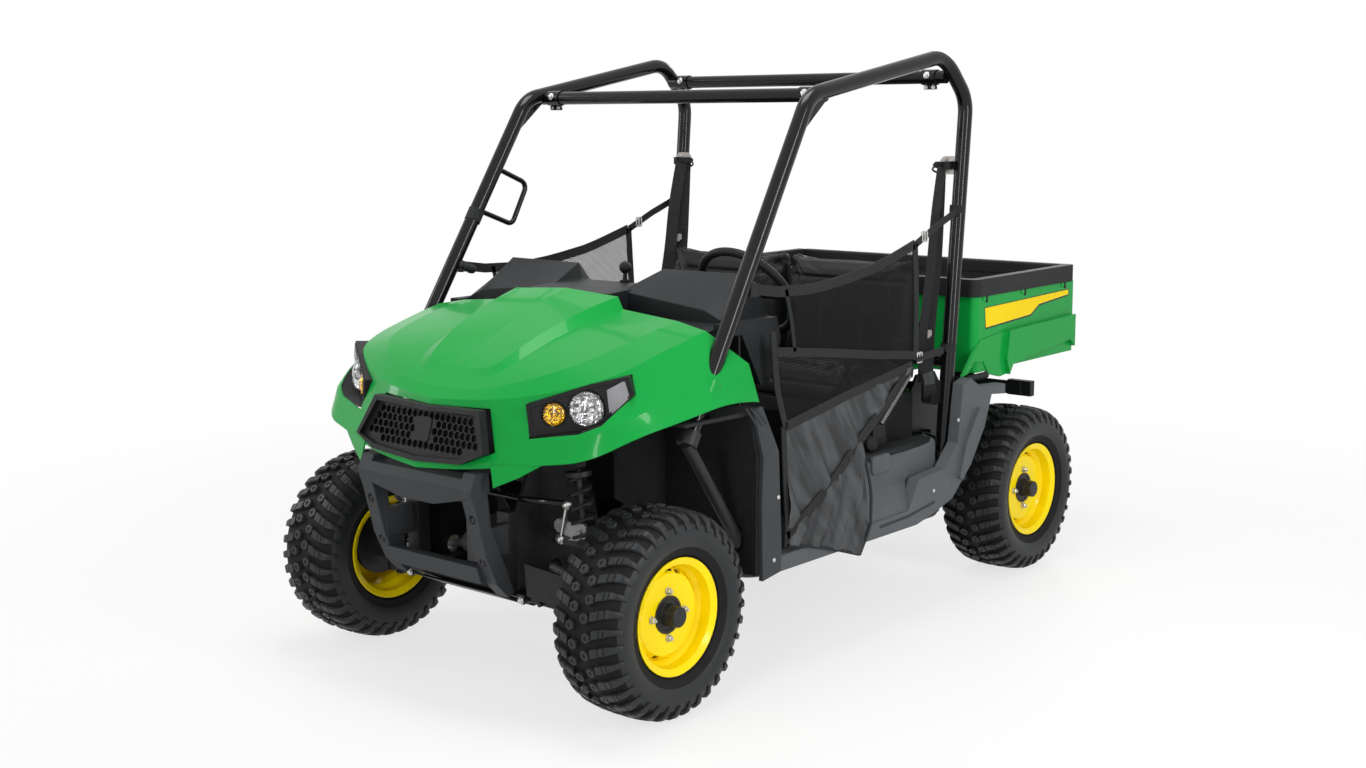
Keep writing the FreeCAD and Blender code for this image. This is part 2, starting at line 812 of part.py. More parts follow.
# Receiver tube between the rails, with the cross hole for its pin.
def make_receiver():
    z = rail_bottom_z + rail_height - 7
    half = receiver_outer / 2
    middle_z = z + half
    bore = receiver_bore / 2
    rear_y = wheelbase + rear_overhang
    tube = block(-half, half, rear_y - receiver_length, rear_y, z, z + receiver_outer)
    socket = block(-bore, bore, rear_y - receiver_depth, rear_y + 1, middle_z - bore, middle_z + bore)
    pin_y = rear_y - receiver_pin_inset
    pin_hole = rod((-half - 20, pin_y, middle_z), (half + 20, pin_y, middle_z), receiver_pin_radius)
    return tube.cut([socket, pin_hole])


# Ladder frame with towers, outriggers, feet for the roll-over frame and the receiver.
def make_frame():
    half = rail_width / 2
    top = rail_bottom_z + rail_height
    pieces = []
    for piece in frame_side():
        pieces.extend(both_sides(piece))
    for y in (rail_front_y + 20, sill_front_y, 900, sill_rear_y, wheelbase - 247, rail_rear_y - 20):
        pieces.append(block(-rail_x, rail_x, y - cross_member_half, y + cross_member_half,
                            rail_bottom_z + 6, top - 6))
    for y in (-60, 60, wheelbase - 17):
        pieces.append(rod((-rail_x - half, y, 640), (rail_x + half, y, 640), tower_tube_radius))
    nose_slope = side_plate([(-300, 380), (-78, rail_bottom_z - 0.5), (-78, 200), (-300, 200)], -300, 300)
    return fuse([fuse(pieces).cut(nose_slope), make_receiver()])


# Character lines of the front body on the left side, from the nose centre round to the rear edge.
def body_rows():
    lower_edge = [(0, -329, 692), (150, -318, 702), (276, -290, 718), (430, -240, 738), (565, -203, 757),
                  (655, -85, 822), (688, 70, 848), (703, 270, 878), (700, 383, 857)]
    flare_line = [(0, -322, 735), (150, -310, 745), (280, -272, 762), (430, -215, 797), (588, -165, 832),
                  (634, -55, 876), (648, 110, 928), (664, 285, 964), (692, 345, 974)]
    shoulder = [(0, -258, 883), (150, -247, 893), (272, -222, 903), (420, -158, 932), (532, -85, 968),
                (562, 10, 1000), (571, 110, 1026), (579, 215, 1052), (581, 285, 1067)]
    upper_line = [(0, -224, 913), (140, -224, 913), (262, -180, 942), (370, -120, 978), (435, -40, 1010),
                  (456, 60, 1038), (464, 150, 1060), (466, 230, 1076), (465, 292, 1087)]
    panel_foot = [(0, -184, 941), (96, -184, 941), (165, -163, 954), (196, -105, 986), (208, -30, 1020),
                  (218, 60, 1050), (227, 150, 1076), (236, 230, 1092), (244, 298, 1105)]
    panel_edge = [(0, -154, 963), (84, -154, 963), (143, -138, 978), (162, -90, 1006), (174, -20, 1044),
                  (187, 60, 1076), (200, 150, 1105), (211, 230, 1127), (222, 300, 1142)]
    ridge = [(0, -136, 976), (0, -110, 990), (0, -76, 1008), (0, -35, 1028), (0, 25, 1056),
             (0, 90, 1084), (0, 165, 1112), (0, 235, 1136), (0, 300, 1155)]
    return [lower_edge, flare_line, shoulder, upper_line, panel_foot, panel_edge, ridge]


def grille_outline(margin):
    # (x, z) corners of the grille opening, widened by margin.
    m = margin
    left = [(120, 871 + m), (grille_half_top + m, 874 + m), (grille_half_wide + m, 760), (190, 724 - m)]
    right = [(-x, z) for x, z in left[::-1]]
    return [(0, 867 + m)] + left + [(0, 711 - m)] + right


def lamp_axes():
    # The lamp's face plane: its centre, outward normal, and the directions along and up the face.
    normal = vec(lamp_facing).normalize()
    along = V(0, 0, 1).cross(normal).normalize()
    up = normal.cross(along)
    return vec(lamp_centre), normal, along, up


def lamp_outline(margin):
    # Outline of the lamp housing on its face plane, given as (along, up) from the lens centre.
    m = margin
    return [(-172 - m, 10 + m), (-160 - m, -84 - m), (-14, -64 - m), (50, -40 - m), (134 + m, 40),
            (118 + m, 92 + m), (10, 68 + m)]


def lamp_prism(margin, behind, ahead):
    centre, normal, along, up = lamp_axes()
    corners = [centre + along * a + up * b - normal * behind for a, b in lamp_outline(margin)]
    face = Part.Face(Part.makePolygon(corners + [corners[0]]))
    return face.extrude(normal * (behind + ahead))


# Hood, nose and fenders in one moulding, with openings for lamps, grille and the frame's posts.
def make_front_body():
    half = skin_solid(body_rows(), skin)
    chin_tab = slanted_plate([(274, -286, 726), (289, -292, 664), (362, -262, 698), (440, -234, 745)], tab_thickness)
    way = rops_front_way()
    collar_base = vec(rops_foot) + way * 112
    collar = Part.makeCylinder(rops_tube_radius + collar_wall, collar_height, collar_base, way)
    post_hole = Part.makeCylinder(rops_tube_radius + running_gap, 700, vec(rops_foot) - way * 150, way)
    half = half.fuse([chin_tab, collar]).cut([lamp_prism(running_gap, 120, 160), post_hole])
    whole = fuse([half, mirrored(half)])
    return whole.cut(front_plate(grille_outline(running_gap), -460, -150))


# Grille: a recessed honeycomb in a plain surround, with a bare rounded boss in the middle.
def make_grille():
    def leaning(front, back):
        return side_plate([(front, 900), (back, 900), (back - 68, 680), (front - 68, 680)], -320, 320)

    front = grille_front_y - grille_thickness
    surround = front_plate(grille_outline(0.0), -460, -150).common(leaning(front, grille_front_y))
    pocket = front_plate(grille_outline(-grille_border), -460, -150).common(
        leaning(front - 60, front + grille_recess))
    panel = surround.cut(pocket)
    field = polygon_face([(x, 0, z) for x, z in ((-206, 856), (0, 850), (206, 856), (248, 775), (170, 750),
                                                 (0, 736), (-170, 750), (-248, 775))])
    across = cell_pitch - cell_wall
    cells = []
    row_pitch = cell_pitch * math.sqrt(3) / 2
    for row in range(-5, 6):
        for column in range(-12, 13):
            x = (column + 0.5 * (row % 2)) * cell_pitch
            z = 796 + row * row_pitch
            on_boss = abs(x) < boss_half_width + across / 2 and abs(z - 796) < boss_half_width + across / 2
            if on_boss or not field.isInside(V(x, 0, z), running_gap, True):
                continue
            corners = []
            for i in range(6):
                turn = math.radians(60 * i + 30)
                corners.append((x + across / math.sqrt(3) * math.cos(turn), z + across / math.sqrt(3) * math.sin(turn)))
            cells.append(front_plate(corners, -460, -150))
    panel = panel.cut(cells)
    boss = rounded_block(-boss_half_width, boss_half_width, -36, 36, -6, 14, 12)
    boss.rotate(V(0, 0, 0), V(1, 0, 0), 90)
    boss.rotate(V(0, 0, 0), V(1, 0, 0), -math.degrees(math.atan2(68, 220)))
    boss.translate(V(0, -282, 796))
    return fuse([panel, boss])


# Headlamp housing of one side with its main and its amber lens.
def make_headlamp():
    centre, normal, along, up = lamp_axes()
    housing = lamp_prism(0.0, lamp_depth, lamp_proud)
    pockets = []
    lenses = []
    for offset, radius in (((0.0, 0.0), main_lens_radius), (side_lens_offset, side_lens_radius)):
        floor = centre + along * offset[0] + up * offset[1] - normal * lens_pocket_depth
        pockets.append(Part.makeCylinder(radius, lens_pocket_depth + lamp_proud + 4, floor, normal))
        lenses.append(Part.makeCylinder(radius - lens_gap, lens_pocket_depth - 8, floor - normal * 0.5, normal))
    return fuse([housing.cut(pockets)] + lenses)


# Front bumper: a bevelled top bar, two raked uprights and a lower bar in one moulding.
def make_bumper():
    front = -front_overhang
    bar_profile = side_plate([(front, 656), (front + 13, 684), (front + 72, 684), (front + 72, 590), (front + 14, 590)],
                             -bumper_outer_x, bumper_outer_x)
    bar_shape = front_plate([(-bumper_outer_x, 716), (bumper_outer_x, 716), (bumper_outer_x, 640),
                             (bumper_inner_x, 622), (72, 594), (-72, 594), (-bumper_inner_x, 622),
                             (-bumper_outer_x, 640)], front - 10, front + 90)
    upright = side_plate([(front, 656), (front + 20, 590), (front + 52, 455), (front + 92, 365), (front + 134, 320),
                          (front + 156, 333), (front + 128, 405), (front + 73, 540), (front + 64, 640),
                          (front + 72, 700), (front + 22, 702)], bumper_inner_x, bumper_outer_x)
    holes = []
    middle_x = (bumper_inner_x + bumper_outer_x) / 2
    for y, z in ((front + 24, 567), (front + 58, 434)):
        holes.append(rod((middle_x, y - 30, z), (middle_x, y + bumper_bolt_depth, z), bumper_bolt_radius))
    upright = upright.cut(holes)
    bracket = block(rail_x - 4, rail_x + 24, front + 60, front_post_y - running_gap, 440, 530)
    lower_bar = side_plate([(front + 56, 418), (front + 74, 364), (front + 110, 352), (front + 104, 412)],
                           -bumper_inner_x - 2, bumper_inner_x + 2)
    pieces = [bar_profile.common(bar_shape), lower_bar]
    for piece in (upright, bracket):
        pieces.extend(both_sides(piece))
    return fuse(pieces)


# Skid plate under the nose and the flat pan under the cab and engine.
def make_skid_pan():
    z = rail_bottom_z - running_gap
    nose = side_plate([(-206, 318), (-196, 320), (-78, z), (-60, z - plate_thickness), (-90, z - 6)],
                      -nose_plate_half, nose_plate_half)
    pan = block(-pan_half_width, pan_half_width, -90, wheelbase - 307, z - plate_thickness, z)
    return fuse([nose, pan])


def column_direction():
    # Down the steering column, away from the driver.
    angle = math.radians(column_angle)
    return V(0, -math.cos(angle), -math.sin(angle))


# A raised pod on the dash: a sloping lid with bevelled ends, highest at its rear edge.
def make_pod():
    sections = (
        (pod_front_y, [(150, 1040), (150, 1146), (484, 1110), (546, 1084), (546, 1040)]),
        (pod_rear_y, [(150, 1040), (186, 1204), (500, 1206), (552, 1160), (552, 1040)]),
        (dash_face_y, [(150, 1040), (200, 1150), (496, 1150), (552, 1110), (552, 1040)]),
    )
    rings = []
    for y, corners in sections:
        rings.append(Part.makePolygon([V(x, y, z) for x, z in corners + corners[:1]]))
    return Part.makeLoft(rings, True, True)


# Dashboard: cowl strip behind the hood, two raised pods and the face towards the seats.
def make_dash():
    face_profile = [(pod_front_y, firewall_top_z), (pod_front_y, 1080), (dash_face_y, 1080), (dash_face_y + 16, 1010),
                    (dash_face_y - 52, 880), (dash_face_y - 72, 880), (dash_face_y - 72, 1000),
                    (pod_front_y + 28, firewall_top_z)]
    face = side_plate(face_profile, -dash_half_width, dash_half_width)
    middle = side_plate([(cowl_front_y, firewall_top_z), (cowl_front_y, dash_top_z - 6), (pod_front_y + 20, dash_top_z),
                         (pod_rear_y, dash_top_z), (dash_face_y, dash_top_z - 32), (dash_face_y, firewall_top_z)],
                        -cowl_half_width + 60, cowl_half_width - 60)
    apron = side_plate([(cowl_front_y + 6, firewall_top_z), (cowl_front_y + 6, 1056), (pod_front_y + 2, 1072),
                        (pod_front_y + 2, firewall_top_z)], -dash_half_width, dash_half_width)
    end = side_plate([(350, firewall_top_z), (350, 1078), (dash_face_y - 12, 1078), (dash_face_y + 8, 1010),
                      (dash_face_y - 52, 880), (dash_face_y - 92, 880), (430, firewall_top_z)],
                     dash_half_width - 4, dash_end_x)
    tray = block(-520, -180, dash_face_y - 52, dash_face_y + 28, 930, 1060)
    pieces = [face, middle, apron] + both_sides(make_pod()) + both_sides(end)
    bore = Part.makeCylinder(steering_hub_radius + running_gap, 400,
                             vec(steering_wheel_centre) + column_direction() * steering_hub_depth, column_direction())
    return fuse(pieces).cut([tray, bore])


def leg_clearance():
    # Room in the body panels round the frame's front strut and its sleeve.
    start = vec(rops_foot) - rops_front_way() * 60
    sleeve = Part.makeCylinder(rops_foot_sleeve + 8, 200, start, rops_front_way())
    return [front_leg(sill_tube_radius + 6), sleeve]


# Black splash liner behind the left front wheel.
def make_arch_liner():
    rear_y = firewall_y - running_gap
    outline = [(rear_y - 30, floor_z + 1), (rear_y, floor_z + 1), (rear_y, 836), (60, 836), (60, 828), (344, 822),
               (378, 698)]
    wall = side_plate(outline, liner_x, liner_outer_x)
    inner = side_plate([(150, 560), (150, 830), (352, 826), (378, 700), (374, 340), (300, 470)], liner_x, liner_x + 6)
    return fuse([wall, inner]).cut(leg_clearance())


# Outer pillar between the front fender and the sill.
def make_pillar():
    outline = [(388, 844), (465, 700), (478, 420), (474, 330), (386, 318), (384, 560), (392, 690), (346, 836)]
    return side_plate(outline, pillar_x, pillar_x + pillar_thickness)


# Cab floor with its toe board and firewall.
def make_floor():
    t = floor_thickness
    rear_y = seat_front_y + 25
    top = firewall_top_z - running_gap
    outline = [(rear_y, floor_z), (toe_y, floor_z), (firewall_y, 470), (firewall_y, top), (firewall_y + t, top),
               (firewall_y + t, 474), (toe_y + 4, floor_z + t), (rear_y, floor_z + t)]
    floor = side_plate(outline, -sill_tube_x + 2, sill_tube_x - 2)
    leg = front_leg(sill_tube_radius + 6)
    return floor.cut(both_sides(leg))


# Moulded seat base with stepped sides.
def make_seat_base():
    front, rear = seat_front_y, seat_rear_y
    foot = floor_z + seat_gap
    top = seat_base_top_z
    body = side_plate([(front + 8, foot), (front, top - 42), (front + 14, top), (rear, top - 20), (rear, foot)],
                      -seat_base_half, seat_base_half)
    inside = seat_base_half - seat_base_wall
    hollow = side_plate([(front + seat_base_wall, foot - 10), (front + seat_base_wall, top - 24),
                         (rear + 1, top - 44), (rear + 1, foot - 10)], -inside, inside)
    step = side_plate([(front + 65, 372), (front + 77, 640), (front + 225, 640), (front + 237, 560),
                       (front + 435, 566), (front + 435, 372)], seat_base_half, seat_step_x)
    return fuse([body.cut(hollow)] + both_sides(step))


# Lower side panel from the sill to the front of the rear arch.
def make_side_panel():
    r = wheelbase
    outline = [(478, 326), (r - 779, 322), (r - 671, 342), (r - 557, 372), (r - 438, 470), (r - 352, 590),
               (r - 307, 700), (r - 215, 690), (r - 215, 726), (r - 387, 738), (r - 447, 775), (r - 497, 760),
               (r - 527, 560), (r - 607, 486), (r - 767, 476), (r - 827, 380), (478, 374)]
    panel = side_plate(outline, side_panel_x, side_panel_outer_x)
    hollow = side_plate([(500, 300), (r - 687, 300), (r - 687, 352), (500, 352)], side_panel_x, side_panel_outer_x - 6)
    ridge = side_plate([(r - 531, 440), (r - 507, 430), (r - 382, 640), (r - 407, 668), (r - 487, 560)],
                       side_panel_outer_x - 4, side_panel_outer_x + 14)
    flange_z = floor_z
    flange = block(sill_tube_x, side_panel_outer_x - 3, 560, r - 827, flange_z, flange_z + 5)
    return fuse([panel.cut(hollow), ridge, flange])


# Seat: cushion and back as plain closed solids.
def make_seat():
    base = seat_base_top_z + running_gap
    rear = seat_rear_y
    half = cushion_half_width
    cushion = side_plate([(seat_front_y + 30, base), (seat_front_y + 12, base + 60),
                          (seat_front_y + 60, seat_base_top_z + cushion_height), (rear - 90, base + 96),
                          (rear - 70, base + 38), (rear - 70, base)], -half, half)
    top = backrest_top_z
    back = side_plate([(rear - 68, base + 10), (rear - 110, base + 108), (rear - 78, top - 150), (rear - 54, top - 20),
                       (rear - 34, top), (rear + 14, top), (rear + 34, top - 26), (rear + 10, top - 200),
                       (rear - 8, base + 10)], -half + 10, half - 10)
    seat = fuse([cushion, back])
    seat.translate(V(seat_x, 0, 0))
    return seat


def make_hoop(radius):
    points = [rops_foot, rops_front_bend, rops_peak, rops_rear_bend, rops_rear_foot]
    return bent_tube(points, radius, rops_bend_radius)


# One side hoop of the roll-over frame, with its gusset and belt anchor.
def make_rops_side():
    bend_y, bend_z = rops_front_bend[1], rops_front_bend[2]
    gusset = side_plate([(bend_y - 84, bend_z - 128), (bend_y + 8, bend_z), (bend_y + 130, bend_z + 24),
                         (bend_y - 66, bend_z - 130)], 0, gusset_thickness)
    gusset.translate(V(rops_front_bend[0] + 1, 0, 0))
    anchor_y = rops_rear_bend[1] - 54
    anchor = block(belt_x + belt_thickness + running_gap, 618, anchor_y - 32, anchor_y + 32, 1486, 1514)
    return fuse([make_hoop(rops_tube_radius), gusset, anchor])


# Split clamp at the end of a cross tube: a sleeve with two bolted flanges below.
def make_clamp(y, z):
    outer = rops_front_bend[0] - clamp_gap
    inner = outer - clamp_length
    radius = rops_cross_radius + clamp_wall
    flange = block(inner + 6, outer - 6, y - 5, y + 5, z - radius - clamp_flange, z - rops_cross_radius)
    return fuse([rod((inner, y, z), (outer, y, z), radius), flange])


# Three tubes that join the two hoops; the upper two are clamped near their ends.
def make_rops_cross():
    hoop = make_hoop(rops_tube_radius + 2 * running_gap)
    half = rops_front_bend[0]
    pieces = []
    for y, z, clamped in ((rops_front_bend[1] + 84, 1739, True), (rops_peak[1] + 34, 1796, True),
                          (rops_rear_foot[1] + 29, 830, False)):
        tube = rod((-half, y, z), (half, y, z), rops_cross_radius)
        if clamped:
            tube = fuse([tube] + both_sides(make_clamp(y, z)))
        trimmed = tube.cut(both_sides(hoop))
        pieces.append(max(trimmed.Solids, key=lambda s: s.Volume))
    return pieces


# Hand hold beside the passenger's A-post.
def make_grab_handle():
    points = [(handle_x, 588, 1508), (handle_x, 742, 1444), (handle_x, 664, 1306), (handle_x, 498, 1368)]
    loop = bent_tube(points, handle_radius, handle_bend_radius)
    loop = loop.cut(mirrored(make_hoop(rops_tube_radius + running_gap)))
    return max(loop.Solids, key=lambda s: s.Volume)


# Seat belt: webbing from its anchor down to the reel.
def make_belt():
    rear = rops_rear_bend[1]
    webbing = side_plate([(rear - 82, 1484), (rear - 70, 1512), (rear - 142, 760), (rear - 156, 760)],
                         belt_x, belt_x + belt_thickness)
    reel = block(belt_x - 10, belt_x + 34, rear - 172, rear - 100, 690, 764)
    belt = fuse([webbing, reel]).cut(make_hoop(rops_tube_radius + running_gap))
    return max(belt.Solids, key=lambda s: s.Volume)


# Side net: upper mesh with its strap, and the fabric skirt that hangs outside the sill.
def make_net():
    span = net_rear_y - net_front_y

    def points(pairs):
        return [(net_front_y + span * share, z) for share, z in pairs]

    upper = side_plate(points([(0.0, 1176), (0.933, 1246), (0.987, 1264), (1.0, 872), (0.879, 840), (0.61, 560),
                               (0.189, 560), (0.189, 985)]), net_x, net_x + net_thickness)
    strap_end = rops_rear_bend[1] - 42
    strap = side_plate([(net_rear_y - 22, 1240), (net_rear_y - 22, 1266), (strap_end, 1350), (strap_end, 1322)],
                       net_x, net_x + net_thickness)
    skirt = side_plate(points([(0.13, 754), (0.85, 800), (0.6, 445), (0.54, 292), (0.39, 305), (0.126, 417)]),
                       net_skirt_x, net_skirt_x + net_thickness)
    link = side_plate(points([(0.2, 736), (0.8, 770), (0.8, 778), (0.2, 744)]), net_x + 4, net_skirt_x + 4)
    net = fuse([upper, strap, skirt, link]).cut(make_hoop(rops_tube_radius + running_gap))
    return max(net.Solids, key=lambda s: s.Volume)


# Steering column and its shroud.
def make_steering_column():
    centre = vec(steering_wheel_centre)
    down = column_direction()
    start = centre + down * (steering_hub_depth + running_gap)
    length = column_length - steering_hub_depth
    return fuse([Part.makeCylinder(column_radius, length, start, down),
                 Part.makeCylinder(steering_hub_radius, 110, start + down * 60, down)])


# Steering wheel: rim, hub and three spokes.
def make_steering_wheel():
    centre = vec(steering_wheel_centre)
    axis = column_direction() * -1
    rim = Part.makeTorus(steering_wheel_radius - steering_rim_radius, steering_rim_radius, centre, axis)
    hub = Part.makeCylinder(steering_hub_radius, steering_hub_depth + 10, centre - axis * steering_hub_depth, axis)
    spokes = []
    lowest = V(1, 0, 0).cross(axis)
    lowest = lowest if lowest.z < 0 else lowest * -1
    for way in (V(1, 0, 0), V(-1, 0, 0), lowest):
        spokes.append(Part.makeCylinder(spoke_radius, steering_wheel_radius - steering_rim_radius - 20,
                                        centre - axis * 8 + way * 22, way))
    return fuse([rim, hub] + spokes)


# Gear lever on the dash between the pods.
def make_gear_lever():
    foot_z = dash_top_z + running_gap
    return fuse([rod((lever_x, lever_y, foot_z), (lever_x, lever_y, foot_z + 8), 16),
                 rod((lever_x, lever_y, foot_z + 3), (lever_x, lever_y + 3, lever_knob_z - 6), 7),
                 Part.makeSphere(lever_knob_radius, V(lever_x, lever_y + 3, lever_knob_z))])


# Engine and transaxle as one plain block of their size.
def make_engine():
    z = rail_bottom_z + rail_height + running_gap
    return fuse([block(-engine_half_width, engine_half_width, wheelbase - 447, wheelbase - 107, z, engine_top_z),
                 block(-gearbox_half_width, gearbox_half_width, wheelbase - 117, wheelbase + 113, z, gearbox_top_z)])


# Front differential on its cross bar, with a drive shaft to each side.
def make_front_drive():
    z = rail_bottom_z + rail_height + running_gap
    pieces = [block(-80, 80, -70, 80, 345, 470), block(-188, 188, 30, 70, z, 356)]
    end_x = kingpin_x - shaft_end_gap
    boot_x = end_x - shaft_boot_length
    shaft_end = (end_x, 0, shaft_z(end_x))
    shaft = fuse([rod((shaft_inner_x, 0, shaft_inner_z), shaft_end, shaft_radius),
                  rod((shaft_inner_x - 2, 0, shaft_inner_z), (150, 0, shaft_z(150)), shaft_joint_radius),
                  rod((boot_x, 0, shaft_z(boot_x)), shaft_end, shaft_radius + 7)])
    return fuse(pieces + both_sides(shaft))


def make_muffler():
    seat_z = rail_bottom_z + rail_height + running_gap
    body = rod((-muffler_half_length, muffler_y, muffler_z), (muffler_half_length, muffler_y, muffler_z),
               muffler_radius)
    tail = rod((180, muffler_y + 50, muffler_z - 10), (180, muffler_y + 95, muffler_z - 18), 20)
    stay = block(muffler_half_length - 18, muffler_half_length - 2, muffler_y - 12, muffler_y + 12, seat_z,
                 muffler_z - 60)
    return fuse([body, tail] + both_sides(stay))


# Steering rack with its two tie rods.
def make_steering_rack():
    z = rack_z()
    pieces = [rod((-rack_half_length, rack_y, z), (rack_half_length, rack_y, z), rack_radius)]
    tie_rod = rod((rack_half_length - 4, rack_y, z), (kingpin_x - tie_rod_inset, rack_y - 28, tie_rod_z()),
                  tie_rod_radius)
    return fuse(pieces + both_sides(tie_rod))


# Cargo bed shell: rounded walls, a flare over each rear wheel, beams and tailgate ears.
def make_bed():
    w = bed_half_width
    top = bed_rim_z - bed_rim_band
    outer = rounded_block(-w, w, bed_front_y, bed_rear_y, bed_floor_z, top, bed_corner_radius)
    inner = rounded_block(-w + bed_skin, w - bed_skin, bed_front_y + bed_skin, bed_rear_y + 60,
                          bed_floor_z + bed_skin, bed_rim_z, bed_corner_radius - bed_skin)
    rear = bed_rear_y
    flare = side_plate([(rear - 28, 912), (rear - 516, 902), (rear - 535, 800), (rear - 514, 742), (rear - 490, 778),
                        (rear - 270, 798), (rear - 66, 820), (rear - 28, 790)], w - bed_skin, w + bed_flare)
    skirt = side_plate([(rear - 700, 884), (rear - 516, 902), (rear - 500, 778), (rear - 514, 742),
                        (rear - 560, 738), (rear - 640, 758), (rear - 672, 804), (rear - 736, 812),
                        (rear - 774, 776), (rear - 812, 768)], w - bed_skin, w + 4)
    pieces = [outer.cut(inner)] + both_sides(flare) + both_sides(skirt)
    for side in (-1, 1):
        x = side * bed_beam_x
        beam = block(x - bed_beam_half, x + bed_beam_half, bed_front_y + 40, bed_pivot_y + 26, bed_pivot_z - 22,
                     bed_floor_z + 2)
        bore = rod((x - 60, bed_pivot_y, bed_pivot_z), (x + 60, bed_pivot_y, bed_pivot_z),
                   bed_pin_radius + running_gap)
        pieces.append(beam.cut(bore))
        half_ear = tailgate_ear / 2
        hinge_y = bed_rear_y - tailgate_hinge_inset
        hinge_z = bed_floor_z + tailgate_hinge_rise
        for ear_x in (hinge_inner_x - tailgate_ear_gap - half_ear, hinge_outer_x + tailgate_ear_gap + half_ear):
            pieces.append(block(side * ear_x - half_ear, side * ear_x + half_ear,
                                hinge_y - tailgate_hinge_radius, hinge_y + tailgate_hinge_radius,
                                bed_floor_z + 4, hinge_z + tailgate_hinge_radius))
    return fuse(pieces)


# Upright grooves in the liner's side walls and lengthwise ones in its floor.
def liner_grooves(end_y):
    wall = bed_half_width - bed_wall
    floor_top = bed_floor_z + bed_floor_thickness
    half = liner_groove_width / 2
    start = bed_front_y + bed_wall + bed_corner_radius
    grooves = []
    y = start + liner_groove_pitch / 2
    while y < end_y - liner_groove_pitch / 2:
        grooves.extend(both_sides(block(wall - 1, wall + liner_groove_depth, y - half, y + half,
                                        floor_top + liner_groove_depth, bed_rim_z - liner_groove_width)))
        y += liner_groove_pitch
    count = int((wall - bed_corner_radius) // liner_groove_pitch)
    for i in range(-count, count + 1):
        x = i * liner_groove_pitch
        grooves.append(block(x - half, x + half, start, end_y + 10, floor_top - liner_groove_depth, floor_top + 1))
    return grooves


# Black bed liner with its wide rim.
def make_bed_liner():
    w = bed_half_width
    end_y = bed_rear_y - tailgate_plate - bed_skin
    gap = bed_skin + running_gap
    inner_radius = bed_corner_radius - bed_skin
    outer = rounded_block(-w + gap, w - gap, bed_front_y + gap, end_y + 60, bed_floor_z + gap, bed_rim_z, inner_radius)
    rim = rounded_block(-w - bed_rim_overhang, w + bed_rim_overhang, bed_front_y - bed_rim_overhang, end_y + 60,
                        bed_rim_z - bed_rim_band + running_gap, bed_rim_z, bed_corner_radius + bed_rim_overhang)
    inner = rounded_block(-w + bed_wall, w - bed_wall, bed_front_y + bed_wall, end_y + 200,
                          bed_floor_z + bed_floor_thickness, bed_rim_z + 1, bed_corner_radius)
    rear_cut = block(-w - 40, w + 40, end_y, end_y + 300, bed_floor_z, bed_rim_z + 10)
    return fuse([outer, rim]).cut([inner, rear_cut] + liner_grooves(end_y)).removeSplitter()


# Release grip under the bed's left edge, on a bracket below the floor.
def make_latch():
    front = bed_rear_y - 800
    bracket = block(bed_half_width - 90, bed_half_width - 10, front + 84, front + 90, latch_z - 8,
                    bed_floor_z - running_gap)
    arm = rod((bed_half_width - 12, front + 87, latch_z), (bed_half_width + 6, front + 87, latch_z), 7)
    grip = rod((bed_half_width + 6, front + 10, latch_z), (bed_half_width + 6, front + 142, latch_z), latch_radius)
    return fuse([bracket, arm, grip])


def make_tailgate():
    w = bed_half_width - tailgate_side_gap
    hinge_y = bed_rear_y - tailgate_hinge_inset
    hinge_z = bed_floor_z + tailgate_hinge_rise
    low, high = hinge_z + 14, bed_rim_z - 4
    plate = block(-w, w, bed_rear_y - tailgate_plate - 3, bed_rear_y - 3, low, high)
    recess = block(-w + tailgate_border, w - tailgate_border, bed_rear_y - 3 - tailgate_recess, bed_rear_y,
                   low + tailgate_border, high - tailgate_border)
    pieces = [plate.cut(recess)]
    barrel = rod((hinge_inner_x, hinge_y, hinge_z), (hinge_outer_x, hinge_y, hinge_z), tailgate_hinge_radius)
    leaf = block(hinge_inner_x, hinge_outer_x, hinge_y - tailgate_hinge_radius, hinge_y + 7, hinge_z, hinge_z + 16)
    return fuse(pieces + both_sides(barrel) + both_sides(leaf))


# Tail lamp of one side on a bracket from the bed post.
def make_tail_lamp():
    post_x = bed_beam_x + bed_beam_half + bed_post_plate + 2 * running_gap
    arm = block(post_x, tail_lamp_x + 10, bed_pivot_y + 4, bed_pivot_y + 12, tail_lamp_z - 25, tail_lamp_z + 25)
    lamp = block(tail_lamp_x - 50, tail_lamp_x + 50, bed_pivot_y + 10, bed_pivot_y + 40, tail_lamp_z - 29,
                 tail_lamp_z + 29)
    return fuse([lamp, arm])


